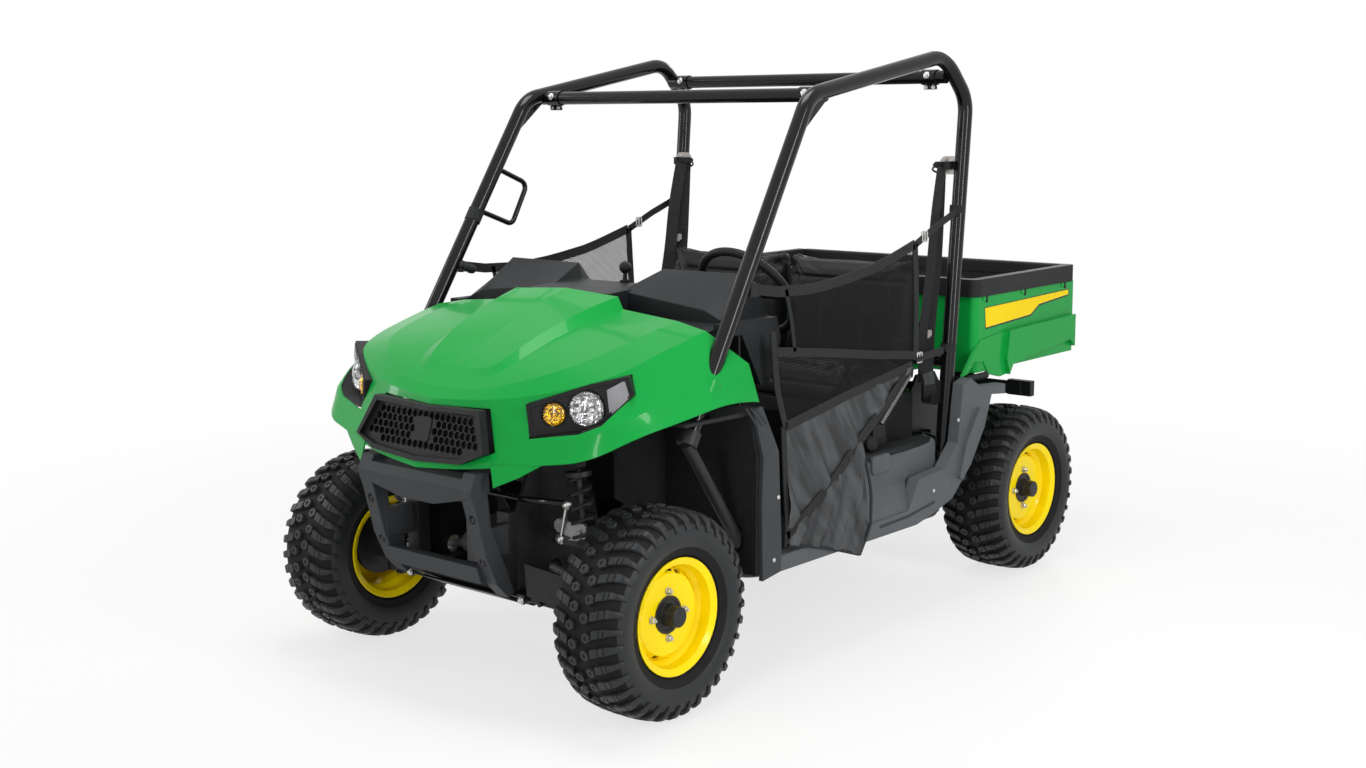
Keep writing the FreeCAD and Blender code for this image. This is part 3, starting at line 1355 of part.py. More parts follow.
def build():
    nodes = {}
    for end, x, y in (("front", front_wheel_x, 0.0), ("rear", rear_wheel_x, wheelbase)):
        for name, side in (("left", 1), ("right", -1)):
            centre = (side * x, y, axle_height)
            nodes["tyre_%s_%s" % (end, name)] = [make_tyre(centre)]
            nodes["wheel_%s_%s" % (end, name)] = [make_wheel(centre, side)]
    for name, shape in (("knuckle", make_knuckle()), ("seat", make_seat()), ("rops", make_rops_side()),
                        ("net", make_net())):
        nodes[name + "_left"], nodes[name + "_right"] = [[s] for s in both_sides(shape)]
    nodes["front_arms"] = [piece for arm in make_front_arms() for piece in both_sides(arm)]
    nodes["rear_arms"] = both_sides(make_rear_arms())
    nodes["front_shocks"] = both_sides(make_shock(shock_foot(), shock_head))
    nodes["rear_shocks"] = both_sides(make_shock(rear_shock_foot(), rear_shock_head))
    nodes["steering_rack"] = [make_steering_rack()]
    nodes["frame"] = [make_frame()]
    nodes["front_body"] = [make_front_body()]
    nodes["grille"] = [make_grille()]
    nodes["headlamps"] = both_sides(make_headlamp())
    nodes["front_bumper"] = [make_bumper()]
    nodes["skid_pan"] = [make_skid_pan()]
    nodes["dash"] = [make_dash()]
    nodes["arch_liners"] = both_sides(make_arch_liner())
    nodes["side_pillars"] = both_sides(make_pillar())
    nodes["floor"] = [make_floor()]
    nodes["seat_base"] = [make_seat_base()]
    nodes["side_panels"] = both_sides(make_side_panel())
    nodes["rops_cross"] = make_rops_cross()
    nodes["grab_handle"] = [make_grab_handle()]
    nodes["belts"] = both_sides(make_belt())
    nodes["steering_column"] = [make_steering_column()]
    nodes["steering_wheel"] = [make_steering_wheel()]
    nodes["gear_lever"] = [make_gear_lever()]
    nodes["drive_train"] = [make_engine(), make_front_drive()]
    nodes["muffler"] = [make_muffler()]
    nodes["bed"] = [make_bed()]
    nodes["bed_liner"] = [make_bed_liner(), make_latch()]
    nodes["tailgate"] = [make_tailgate()]
    nodes["tail_lamps"] = both_sides(make_tail_lamp())
    return nodes


if __name__ == "__main__":
    middle_y = (wheelbase + rear_overhang - front_overhang) / 2
    shift = V(0, -middle_y, tyre_radius - axle_height)
    for name, solids in build().items():
        shape = solids[0] if len(solids) == 1 else Part.makeCompound(solids)
        shape.translate(shift)
        shape.exportStep("parts/%s.step" % name)
        print(name, shape.isValid(), round(shape.Volume / 1e6, 3))
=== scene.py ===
"""Looks of the side by side utility vehicle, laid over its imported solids."""

import math

import bmesh
import bpy
from mathutils import Matrix, Vector
from mathutils.bvhtree import BVHTree


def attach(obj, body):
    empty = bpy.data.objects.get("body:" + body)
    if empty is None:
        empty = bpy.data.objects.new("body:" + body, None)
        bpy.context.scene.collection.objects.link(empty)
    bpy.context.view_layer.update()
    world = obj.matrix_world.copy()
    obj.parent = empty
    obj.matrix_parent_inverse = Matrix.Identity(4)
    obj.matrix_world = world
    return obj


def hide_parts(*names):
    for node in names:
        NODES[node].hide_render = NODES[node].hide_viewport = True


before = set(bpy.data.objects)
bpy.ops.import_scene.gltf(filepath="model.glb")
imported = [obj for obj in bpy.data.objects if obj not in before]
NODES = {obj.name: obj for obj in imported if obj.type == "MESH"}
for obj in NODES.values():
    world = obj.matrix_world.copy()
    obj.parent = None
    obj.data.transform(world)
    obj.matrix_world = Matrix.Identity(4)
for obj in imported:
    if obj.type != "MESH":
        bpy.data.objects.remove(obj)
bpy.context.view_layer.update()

# Places are in millimetres from the ground below the middle of the front axle.
# x points to the vehicle's left, y to its rear and z up.
FRAME_MIDDLE_Y = 1046.0
WHEELBASE = 2007.0
AXLE_Z = 303.0
FRONT_WHEEL_X = 612.0
REAR_WHEEL_X = 598.0
WHEELS = {
    "front_left": (FRONT_WHEEL_X, 0.0),
    "front_right": (-FRONT_WHEEL_X, 0.0),
    "rear_left": (REAR_WHEEL_X, WHEELBASE),
    "rear_right": (-REAR_WHEEL_X, WHEELBASE),
}
SIDES = ((1, "left"), (-1, "right"))


def at(x, y, z):
    """The point in metres of the shared frame."""
    return Vector((x, y - FRAME_MIDDLE_Y, z)) / 1000


def mirrored(side, places):
    """Places of the left side, as points on the side asked for."""
    return [at(side * x, y, z) for x, y, z in places]


# Shader maths


class Sock:
    """A number or colour in a material. Sums on it become Math nodes."""

    def __init__(self, nodes, socket):
        self.nodes = nodes
        self.socket = socket

    def _sum(self, operation, *values):
        return self.nodes.node("ShaderNodeMath", {"operation": operation}, *values)

    def __add__(self, other):
        return self._sum("ADD", self, other)

    __radd__ = __add__

    def __mul__(self, other):
        return self._sum("MULTIPLY", self, other)

    __rmul__ = __mul__

    def __sub__(self, other):
        return self._sum("SUBTRACT", self, other)

    def __rsub__(self, other):
        return self._sum("SUBTRACT", other, self)

    def over(self, limit):
        return self._sum("GREATER_THAN", self, limit)

    def under(self, limit):
        return self._sum("LESS_THAN", self, limit)

    def at_least(self, limit):
        return self._sum("MAXIMUM", self, limit)

    def sin(self):
        return self._sum("SINE", self)

    def root(self):
        return self._sum("SQRT", self)

    def size(self):
        return self._sum("ABSOLUTE", self)

    def between(self, low, high):
        """0 below low, 1 above high, smooth between."""
        return self.nodes.node(
            "ShaderNodeMapRange", {"interpolation_type": "SMOOTHSTEP"}, self, low, high, 0.0, 1.0
        )


class Nodes:
    """A node tree in which every node comes from node()."""

    def __init__(self, tree):
        self.tree = tree

    def node(self, kind, settings, *values, out=0, **named):
        """One node: its settings, then the values or links of its sockets."""
        made = self.tree.nodes.new(kind)
        for key, value in settings.items():
            setattr(made, key, value)
        for socket, value in zip(made.inputs, values):
            self.join(socket, value)
        for key, value in named.items():
            self.join(made.inputs[key.replace("_", " ")], value)
        return Sock(self, made.outputs[out]) if made.outputs else None

    def join(self, socket, value):
        """Links or sets one socket; None leaves it as it is."""
        if isinstance(value, Sock):
            self.tree.links.new(value.socket, socket)
        elif value is not None:
            socket.default_value = (*value, 1) if socket.type == "RGBA" else value

    def outputs(self, kind, *values):
        """Every output of one node, by name."""
        made = self.node(kind, {}, *values).socket.node
        return {output.name: Sock(self, output) for output in made.outputs}

    def seen(self):
        """1 where the camera, a mirror or clear glass looks at it, 0 where it only gives light."""
        ray = self.outputs("ShaderNodeLightPath")
        straight = ray["Is Camera Ray"] + ray["Is Glossy Ray"] + ray["Is Transmission Ray"]
        return straight.between(0.0, 1.0)


class Finish(Nodes):
    """A material under construction around one Principled shader."""

    def __init__(self, name, colour=(0.5, 0.5, 0.5), **fixed):
        self.material = bpy.data.materials.new(name)
        self.material.use_nodes = True
        super().__init__(self.material.node_tree)
        self.shader = self.tree.nodes["Principled BSDF"]
        self.feed(Base_Color=colour, **fixed)

    def feed(self, **values):
        """Sets or links sockets of the shader."""
        for key, value in values.items():
            self.join(self.shader.inputs[key.replace("_", " ")], value)

    def place(self):
        """Object coordinates in metres."""
        return self.node("ShaderNodeTexCoord", {}, out=3)

    def axes(self):
        """The object coordinates one by one."""
        return self.outputs("ShaderNodeSeparateXYZ", self.place()).values()

    def noise(self, scale, detail=3.0, vector=None):
        return self.node(
            "ShaderNodeTexNoise", {}, Vector=vector or self.place(), Scale=scale, Detail=detail,
            Roughness=0.55,
        )

    def cells(self, scale, feature="F1", vector=None, randomness=1.0):
        return self.node(
            "ShaderNodeTexVoronoi", {"feature": feature}, Vector=vector or self.place(), Scale=scale,
            Randomness=randomness,
        )

    def blend(self, mask, first, second):
        """Colour first where mask is 0, second where it is 1."""
        unused = [None] * 5
        return self.node("ShaderNodeMix", {"data_type": "RGBA"}, mask, *unused, first, second, out=2)

    def relief(self, height, depth, edge=0.0, strength=1.0):
        """Ends the material with bumps of the given depth; edge rounds its edges, both in metres."""
        rounded = self.node("ShaderNodeBevel", {"samples": 4}, Radius=edge) if edge else None
        self.feed(Normal=self.node(
            "ShaderNodeBump", {}, Strength=strength, Distance=depth, Height=height, Normal=rounded
        ))
        return self.material


# Finishes


def gloss_green():
    f = Finish("gloss_green", Specular_IOR_Level=0.07, Coat_Weight=0.22, Coat_IOR=1.4, Coat_Roughness=0.05)
    drift = f.noise(1.6, 2.0)
    f.feed(Base_Color=f.blend(drift, (0.004, 0.30, 0.045), (0.007, 0.345, 0.054)))
    f.feed(Roughness=0.24 + drift * 0.1)
    return f.relief(f.noise(260.0, 2.0), 0.00012, edge=0.004, strength=0.35)


def wheel_yellow():
    f = Finish("wheel_yellow", Specular_IOR_Level=0.1, Coat_Weight=0.2, Coat_Roughness=0.08)
    drift = f.noise(9.0)
    dust = f.noise(60.0, 4.0).between(0.62, 0.8)
    paint = f.blend(drift, (0.97, 0.72, 0.001), (1.0, 0.78, 0.003))
    f.feed(Base_Color=f.blend(dust * 0.25, paint, (0.45, 0.30, 0.05)), Roughness=0.26 + drift * 0.14)
    return f.relief(f.noise(320.0, 2.0), 0.0001, edge=0.002, strength=0.4)


def stripe_yellow():
    f = Finish("stripe_yellow", Specular_IOR_Level=0.1, Coat_Weight=0.1)
    f.feed(Base_Color=f.blend(f.noise(5.0), (0.93, 0.66, 0.001), (0.98, 0.72, 0.003)))
    return f.relief(f.noise(200.0), 0.0001, strength=0.3)


def moulded(name, dark, light, grain_scale, grain_depth, rough, edge=0.003):
    """Grained moulding: a fine leathery texture with paler worn high spots."""
    f = Finish(name, Specular_IOR_Level=0.16)
    drift = f.noise(3.0, 4.0)
    grain = f.cells(grain_scale, "SMOOTH_F1") + f.noise(grain_scale * 0.8, 3.0) * 0.6
    scuffs = f.noise(34.0, 5.0).between(0.58, 0.75)
    worn = tuple(c * 1.35 for c in light)
    f.feed(Base_Color=f.blend(scuffs * 0.35, f.blend(drift, dark, light), worn))
    f.feed(Roughness=rough + grain * 0.12)
    return f.relief(grain, grain_depth, edge=edge, strength=0.6)


def tyre_rubber():
    """Dusty rubber with fine rings on the side wall, and painted shade that makes it near black between the
    tread blocks.
    """
    f = Finish("tyre_rubber", Specular_IOR_Level=0.28)
    x, y, z = f.axes()
    reach = (y * y + z * z).root()
    side_wall = 1.0 - reach.between(0.25, 0.268)
    rings = (reach * 1500.0).sin() * side_wall * reach.over(0.236) * 0.25
    dust = f.noise(24.0, 4.0)
    rubber = f.blend(dust, (0.010, 0.011, 0.012), (0.022, 0.0235, 0.025))
    wide = x.size()
    shoulder = (wide - 0.06).at_least(0.0)
    block_foot = 0.2945 - shoulder * shoulder * 7.5
    # Painted shade: the rubber below the foot of the tread blocks is coloured near black.
    below = (block_foot - reach).between(-0.001, 0.003) * wide.under(0.113)
    f.feed(Base_Color=f.blend(below, rubber, (0.0012, 0.0012, 0.0013)))
    f.feed(Roughness=0.38 + dust * 0.16 + below * 0.3)
    return f.relief(f.noise(420.0, 3.0) + rings, 0.0006, edge=0.0016, strength=0.5)


def tube_black():
    f = Finish("tube_black", Specular_IOR_Level=0.28)
    drift = f.noise(7.0, 3.0)
    f.feed(Base_Color=f.blend(drift, (0.003, 0.003, 0.0035), (0.006, 0.006, 0.007)))
    f.feed(Roughness=0.11 + drift * 0.08)
    return f.relief(f.noise(220.0, 2.0), 0.00012, strength=0.3)


def chassis_black():
    f = Finish("chassis_black", Specular_IOR_Level=0.3)
    drift = f.noise(11.0, 4.0)
    dust = f.noise(45.0, 5.0).between(0.55, 0.8)
    paint = f.blend(drift, (0.008, 0.008, 0.009), (0.02, 0.02, 0.022))
    f.feed(Base_Color=f.blend(dust * 0.3, paint, (0.05, 0.047, 0.043)), Roughness=0.34 + drift * 0.22)
    return f.relief(f.noise(160.0, 3.0), 0.0003, edge=0.002, strength=0.4)


def metal(name, dark, light, rough, metallic=1.0, scale=80.0):
    f = Finish(name, Metallic=metallic)
    drift = f.noise(scale, 4.0)
    f.feed(Base_Color=f.blend(drift, dark, light), Roughness=rough + drift * 0.2)
    return f.relief(drift, 0.0003, edge=0.001, strength=0.35)


def webbing():
    f = Finish("webbing", Specular_IOR_Level=0.25)
    x, y, z = f.axes()
    ribs = ((y + z) * 3400.0).sin() * 0.5 + ((z - y) * 3400.0).sin() * 0.5
    fray = f.noise(300.0, 3.0)
    f.feed(Base_Color=f.blend(fray, (0.006, 0.0065, 0.007), (0.021, 0.022, 0.023)))
    f.feed(Roughness=0.55 + fray * 0.2)
    return f.relief(ribs, 0.0005, strength=0.7)


def net_cloth(name, pitch, hole):
    """Knitted mesh in the net's plane: threads round rows of small holes, pitch metres apart."""
    f = Finish(name, Specular_IOR_Level=0.1)
    x, y, z = f.axes()
    flat = f.node("ShaderNodeCombineXYZ", {}, y, z)
    spots = f.cells(1.0 / pitch, vector=flat, randomness=0.12)
    thread = f.noise(500.0, 2.0)
    f.feed(Base_Color=f.blend(thread, (0.003, 0.003, 0.0035), (0.010, 0.010, 0.011)))
    f.feed(Roughness=0.6 + thread * 0.2, Alpha=spots.between(hole, hole + 0.06))
    return f.relief(spots, 0.0008, strength=0.6)


def nylon():
    """Thin woven cloth, with painted highlight along the crests of its creases and painted shade in their
    hollows.
    """
    f = Finish("nylon", Specular_IOR_Level=0.4)
    x, y, z = f.axes()
    weave = (y * 2600.0).sin() * (z * 2600.0).sin()
    drift = f.noise(14.0, 4.0)
    creases = f.noise(9.0, 2.0, f.node("ShaderNodeCombineXYZ", {}, x, y * 2.2 + z * 0.9, z * 0.6))
    # Painted light and shade: the colour follows the crease relief, paler on its crests and darker in its
    # hollows.
    crease_light_and_shade = creases.between(0.34, 0.66)
    f.feed(Base_Color=f.blend(crease_light_and_shade, (0.009, 0.010, 0.011), (0.048, 0.052, 0.056)))
    f.feed(Roughness=0.34 + drift * 0.16)
    return f.relief(weave * 0.02 + drift * 0.1 + creases, 0.012, strength=0.6)


def vinyl():
    f = Finish("seat_vinyl", Specular_IOR_Level=0.22)
    drift = f.noise(6.0, 4.0)
    f.feed(Base_Color=f.blend(drift, (0.004, 0.004, 0.0045), (0.008, 0.0085, 0.009)))
    f.feed(Roughness=0.42 + drift * 0.16)
    return f.relief(f.cells(700.0, "SMOOTH_F1"), 0.0004, strength=0.6)


def lens(name, colour, rough=0.05):
    f = Finish(name, colour, Transmission_Weight=0.92, IOR=1.45, Roughness=rough, Coat_Weight=0.4)
    return f.relief(f.noise(30.0, 1.0), 0.0002, strength=0.2)


def reflector(name, colour, facets):
    """Bright bowl with flat facets."""
    f = Finish(name, colour, Metallic=1.0, Roughness=0.08)
    return f.relief(f.cells(facets, randomness=0.6), 0.012, strength=0.8)


def pale_floor():
    """Pale near the vehicle, where it takes the shadow, and bright white further out."""
    f = Finish("pale_floor", Roughness=0.5, Specular_IOR_Level=0.2)
    f.feed(Base_Color=f.blend(f.noise(0.7, 2.0), (0.86, 0.86, 0.865), (0.9, 0.9, 0.905)))
    x, y, z = f.axes()
    far = (x * x + y * y).root().between(1.6, 4.6)
    white = f.node("ShaderNodeEmission", {}, (1, 1, 1), 1.0)
    share = f.seen() * (far * 0.28 + 0.72)
    mixed = f.node("ShaderNodeMixShader", {}, share, Sock(f, f.shader.outputs[0]), white)
    f.join(f.tree.nodes["Material Output"].inputs[0], mixed)
    return f.material


GREEN = gloss_green()
YELLOW = wheel_yellow()
STRIPE_YELLOW = stripe_yellow()
RUBBER = tyre_rubber()
BUMPER = moulded("bumper_grey", (0.030, 0.0335, 0.0365), (0.043, 0.047, 0.051), 900.0, 0.0006, 0.42, 0.006)
TRIM = moulded("side_trim_grey", (0.034, 0.038, 0.041), (0.050, 0.055, 0.060), 900.0, 0.0005, 0.4, 0.006)
# Painted light: the side panels are coloured about twice as pale as the side trim's grey, for the light
# their sides catch.
SIDE_PANEL_PAINTED_LIGHT = moulded("side_panel_grey", (0.073, 0.081, 0.087), (0.104, 0.114, 0.123), 900.0, 0.0005, 0.38, 0.006)
INTERIOR = moulded("interior_black", (0.007, 0.0075, 0.008), (0.015, 0.016, 0.017), 800.0, 0.0006, 0.42)
DASH = moulded("dash_black", (0.011, 0.0125, 0.0135), (0.018, 0.020, 0.022), 700.0, 0.0007, 0.4, 0.006)
LINER = moulded("liner_black", (0.008, 0.0085, 0.009), (0.022, 0.023, 0.0245), 230.0, 0.0016, 0.45, 0.005)
GRILLE = moulded("grille_black", (0.006, 0.006, 0.007), (0.014, 0.014, 0.015), 900.0, 0.0004, 0.36, 0.0015)
TUBE = tube_black()
CHASSIS = chassis_black()
ZINC = metal("zinc", (0.42, 0.42, 0.41), (0.68, 0.67, 0.65), 0.28)
DARK_ZINC = metal("dark_zinc", (0.16, 0.16, 0.165), (0.34, 0.34, 0.35), 0.22)
CAST = metal("cast_grey", (0.16, 0.16, 0.165), (0.30, 0.30, 0.31), 0.45, 0.8)
DARK_CHROME = metal("dark_chrome", (0.10, 0.10, 0.105), (0.18, 0.18, 0.185), 0.10)
STEEL = metal("dull_steel", (0.22, 0.21, 0.20), (0.38, 0.36, 0.34), 0.38)
LAMP_SILVER = metal("lamp_silver", (0.16, 0.16, 0.17), (0.26, 0.26, 0.27), 0.3, 0.6, 12.0)
WEBBING = webbing()
NET_FINE = net_cloth("net_fine", 0.0042, 0.29)
NET_OPEN = net_cloth("net_open", 0.009, 0.34)
NYLON = nylon()
VINYL = vinyl()
CLEAR = lens("clear_lens", (1.0, 1.0, 1.0))
AMBER = lens("amber_lens", (1.0, 0.68, 0.03), 0.1)
RED = lens("red_lens", (0.75, 0.01, 0.008), 0.1)
BOWL = reflector("lamp_bowl", (0.62, 0.62, 0.64), 60.0)
AMBER_BOWL = reflector("amber_bowl", (1.0, 0.85, 0.12), 90.0)

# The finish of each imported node.
NODE_FINISHES = (
    (("front_body", "bed", "tailgate"), GREEN),
    (tuple("wheel_" + w for w in WHEELS), YELLOW),
    (tuple("tyre_" + w for w in WHEELS), RUBBER),
    (("knuckle_left", "knuckle_right", "frame", "rear_arms", "front_arms", "skid_pan"), CHASSIS),
    (("front_shocks", "rear_shocks"), CHASSIS),
    (("grille", "headlamps"), GRILLE),
    (("front_bumper",), BUMPER),
    (("side_pillars",), TRIM),
    (("side_panels",), SIDE_PANEL_PAINTED_LIGHT),
    (("floor", "seat_base", "steering_column", "steering_wheel", "gear_lever"), INTERIOR),
    (("dash",), DASH),
    (("arch_liners", "bed_liner", "tail_lamps"), LINER),
    (("rops_left", "rops_right", "rops_cross", "grab_handle"), TUBE),
    (("belts", "net_left", "net_right"), WEBBING),
    (("seat_left", "seat_right"), VINYL),
    (("drive_train",), CAST),
    (("muffler",), STEEL),
    (("steering_rack",), ZINC),
)


# Shapes


class Shape:
    """Faces gathered from several simple bodies into one mesh."""

    def __init__(self):
        self.bm = bmesh.new()

    def points(self, places):
        return [self.bm.verts.new(p) for p in places]

    def bridge(self, first, second, closed=True):
        n = len(first)
        for i in range(n if closed else n - 1):
            j = (i + 1) % n
            self.bm.faces.new([first[i], first[j], second[j], second[i]])

    def rings(self, rings, caps=True, joined=False):
        """A skin over rings of points: capped at both ends, open, or joined round."""
        made = [self.points(r) for r in rings]
        for a, b in zip(made, made[1:]):
            self.bridge(a, b)
        if joined:
            self.bridge(made[-1], made[0])
        elif caps:
            self.bm.faces.new(made[0][::-1])
            self.bm.faces.new(made[-1])

    def sheet(self, rows):
        """An open sheet over rows of points."""
        made = [self.points(r) for r in rows]
        for a, b in zip(made, made[1:]):
            self.bridge(a, b, closed=False)

    def lathe(self, profile, centre, axis, steps=48, caps=True):
        """profile: (along the axis, radius) in millimetres."""
        turn = Vector(axis).normalized().to_track_quat("Z", "Y").to_matrix()
        angles = [2 * math.pi * i / steps for i in range(steps)]
        rings = []
        for along, radius in profile:
            ring = [Vector((radius * math.cos(a), radius * math.sin(a), along)) for a in angles]
            rings.append([Vector(centre) + turn @ p / 1000 for p in ring])
        self.rings(rings, caps=caps)

    def slab(self, corners, thickness):
        """A flat plate from its corner points and the vector across it."""
        across = Vector(thickness)
        self.rings([corners, [Vector(c) + across for c in corners]])

    def block(self, low, high):
        x0, y0, z0 = low
        x1, y1, z1 = high
        foot = [Vector((x0, y0, z0)), Vector((x1, y0, z0)), Vector((x1, y1, z0)), Vector((x0, y1, z0))]
        self.slab(foot, (0, 0, z1 - z0))

    def board(self, centre, facing, width, height, thick, corner=4.0):
        """A plate with cut corners that looks along facing, sizes in millimetres."""
        facing = Vector(facing).normalized()
        along = Vector((0, 0, 1)).cross(facing).normalized()
        up = facing.cross(along)
        w, h = width / 2, height / 2
        outline = [(w, h - corner), (w - corner, h), (-w + corner, h), (-w, h - corner),
                   (-w, -h + corner), (-w + corner, -h), (w - corner, -h), (w, -h + corner)]
        back = Vector(centre) - facing * thick / 2000
        self.slab([back + (along * a + up * b) / 1000 for a, b in outline], facing * thick / 1000)

    def bolt(self, centre, axis, size=8.0, height=5.0):
        """Flanged hexagon head; size is its radius in millimetres."""
        self.lathe([(0, size * 1.35), (1.4, size * 1.3), (1.6, size * 0.9)], centre, axis, 16)
        self.lathe([(0, size), (height, size), (height + 0.8, size * 0.82)], centre, axis, 6)

    def strap(self, points, facing, width, thick=1.6):
        """Flat webbing along a path; its face looks along facing."""
        path = smooth_path(points)
        rings = []
        for i, p in enumerate(path):
            run = (path[min(i + 1, len(path) - 1)] - path[max(i - 1, 0)]).normalized()
            across = run.cross(Vector(facing)).normalized() * width / 2000
            out = across.cross(run).normalized() * thick / 2000
            rings.append([p + across + out, p - across + out, p - across - out, p + across - out])
        self.rings(rings)

    def done(self, name, material, slot=None, body="chassis", smooth=32.0, bevel=0.0):
        """Ends the mesh. Edges sharper than smooth degrees stay sharp; bevel is in millimetres."""
        bmesh.ops.remove_doubles(self.bm, verts=self.bm.verts, dist=1e-6)
        bmesh.ops.recalc_face_normals(self.bm, faces=self.bm.faces)
        for f in self.bm.faces:
            f.smooth = True
        for e in self.bm.edges:
            if len(e.link_faces) == 2 and e.calc_face_angle(0.0) > math.radians(smooth):
                e.smooth = False
        mesh = bpy.data.meshes.new(name)
        self.bm.to_mesh(mesh)
        self.bm.free()
        mesh.materials.append(material)
        made = bpy.data.objects.new(name, mesh)
        bpy.context.scene.collection.objects.link(made)
        if bevel:
            b = made.modifiers.new("edges", "BEVEL")
            b.width = bevel / 1000
            b.segments = 2
            b.limit_method = "ANGLE"
            b.harden_normals = False
        if body:
            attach(made, body)
        return made


def smooth_path(points, per=6):
    """Points along a smooth curve through the given ones."""
    ends = [points[0] * 2 - points[1]] + points + [points[-1] * 2 - points[-2]]
    path = []
    for a, b, c, d in zip(ends, ends[1:], ends[2:], ends[3:]):
        for i in range(per):
            t = i / per
            bend = (a * 2 - b * 5 + c * 4 - d) * t * t + (b * 3 - a - c * 3 + d) * t ** 3
            path.append((b * 2 + (c - a) * t + bend) / 2)
    return path + [points[-1]]


def rod_line(name, points, radius, material, smooth=True, sides=4):
    """A round rod of the chassis along points in metres."""
    curve = bpy.data.curves.new(name, "CURVE")
    curve.dimensions = "3D"
    curve.bevel_depth = radius / 1000
    curve.bevel_resolution = sides
    curve.use_fill_caps = True
    line = curve.splines.new("NURBS" if smooth else "POLY")
    line.points.add(len(points) - 1)
    for p, q in zip(line.points, points):
        p.co = (*q, 1)
    if smooth:
        line.order_u = 3
        line.use_endpoint_u = True
    curve.materials.append(material)
    made = bpy.data.objects.new(name, curve)
    bpy.context.scene.collection.objects.link(made)
    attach(made, "chassis")


# Tyres

PITCHES = 36
TREAD_RADIUS = 296.0
TREAD_SWEEP = 0.09
CARCASS_EDGE = 112
# Half of each section, as (distance from the middle, radius).
TREAD_ROWS = [(0, 303.0), (30, 302.6), (60, 301.0), (88, 297.0), (104, 290.0), (114, 279.0), (121, 262.0)]
CARCASS_ROWS = [
    (0, 290.0), (45, 289.0), (80, 285.5), (100, 278.0), (112, 267.0), (119, 252.0), (121.5, 238.0),
    (120, 222.0), (115, 205.0), (109, 192.0), (104, 183.0), (103.5, 178.5), (101, 176.5), (99, 178.0),
    (95, 172.5), (88, 160.0), (87, 154.0),
]
# Place and size of the knob, then inner end, outer end, width, steps and taper of each block.
TREAD_PATTERNS = (
    (21.0, 16.0, ((41, 68, 25, 2, 1.0), (71, 88, 24, 1, 0.96), (90.5, 121, 26, 4, 0.62))),
    (30.0, 15.0, ((50, 74, 24, 2, 1.0), (77, 88, 24, 1, 0.96), (90.5, 121, 21, 4, 0.62))),
)
KNOB_ROWS = ((289.0, 1.08), (301.8, 1.0), (302.9, 0.92), (302.9, 0.42), (299.8, 0.34))


def row_radius(rows, x):
    for (x0, r0), (x1, r1) in zip(rows, rows[1:]):
        if x <= x1:
            return r0 + (r1 - r0) * (x - x0) / (x1 - x0)
    return rows[-1][1]


def tread_block(shape, side, angle, inner, outer, width, steps, taper, sweep):
    """One block of the tread, width in millimetres along the tread."""
    rings = []
    for i in range(steps + 1):
        share = i / steps
        x = inner + (outer - inner) * share
        top = row_radius(TREAD_ROWS, x)
        base = top - 12 if x > CARCASS_EDGE else row_radius(CARCASS_ROWS, x) - 1.5
        half = width / 2 * (1 + (taper - 1) * share)
        mid = angle + sweep * (1 - math.cos(math.pi * min(1.0, x / 118))) / 2
        foot_spread = {0: -2.2, steps: 2.2}.get(i, 0.0)
        ring = []
        for radius, h in ((base, half + 1.6), (top - 1.2, half), (top, half - 1.0), (top, -half + 1.0),
                          (top - 1.2, -half), (base, -half - 1.6)):
            a = mid + h / TREAD_RADIUS
            out = foot_spread if radius == base else 0.0
            ring.append(Vector((side * (x + out), radius * math.sin(a), radius * math.cos(a))) / 1000)
        rings.append(ring)
    shape.rings(rings)


def knob(shape, side, angle, x_mid, size):
    """Six-sided block near the middle of the tread, with a dimple."""
    rings = []
    for radius, spread in KNOB_ROWS:
        ring = []
        for i in range(6):
            a = math.pi / 6 + math.pi / 3 * i
            x = side * x_mid + size * 1.05 * spread * math.cos(a)
            t = angle + size * spread * math.sin(a) / TREAD_RADIUS
            ring.append(Vector((x, radius * math.sin(t), radius * math.cos(t))) / 1000)
        rings.append(ring)
    shape.rings(rings)


def tyre(wheel, x, y):
    shape = Shape()
    rows = [(-wide, r) for wide, r in CARCASS_ROWS[::-1]] + CARCASS_ROWS[1:]
    shape.lathe(rows, (0, 0, 0), (1, 0, 0), 96, caps=False)
    sweep = TREAD_SWEEP if x > 0 else -TREAD_SWEEP
    for i in range(PITCHES):
        knob_x, knob_size, blocks = TREAD_PATTERNS[i % 2]
        for side in (1, -1):
            angle = 2 * math.pi * (i + (0.5 if side < 0 else 0.0)) / PITCHES
            knob(shape, side, angle, knob_x, knob_size)
            for block in blocks:
                tread_block(shape, side, angle, *block, sweep)
    made = shape.done("tread_" + wheel, RUBBER, "tyre", None, smooth=40)
    made.location = at(x, y, AXLE_Z)
    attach(made, wheel + "_wheel")
    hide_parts("tyre_" + wheel)


# Hubs

DISC_FACE = 61.0
NUT_CIRCLE = 0.0685
HUB_CAP = [(0.2, 55), (3.2, 55), (4.2, 53.5), (4.2, 46), (1.5, 44), (1.5, 33), (4, 31.5), (20, 31),
           (21, 29.6), (44, 29.4), (46.8, 26), (47.4, 21), (47.4, 0.2)]
# Washer, nut and stud, each with its number of sides.
NUT_PARTS = (
    ([(0, 11.5), (2.0, 11), (2.2, 8.5)], 20),
    ([(0, 9), (11, 9), (13, 6.5)], 6),
    ([(0, 4.6), (17, 4.6), (18, 3.8)], 12),
)
VALVE = [(0, 5), (9, 4.2), (10, 3.4), (26, 3.4), (27, 2.6)]


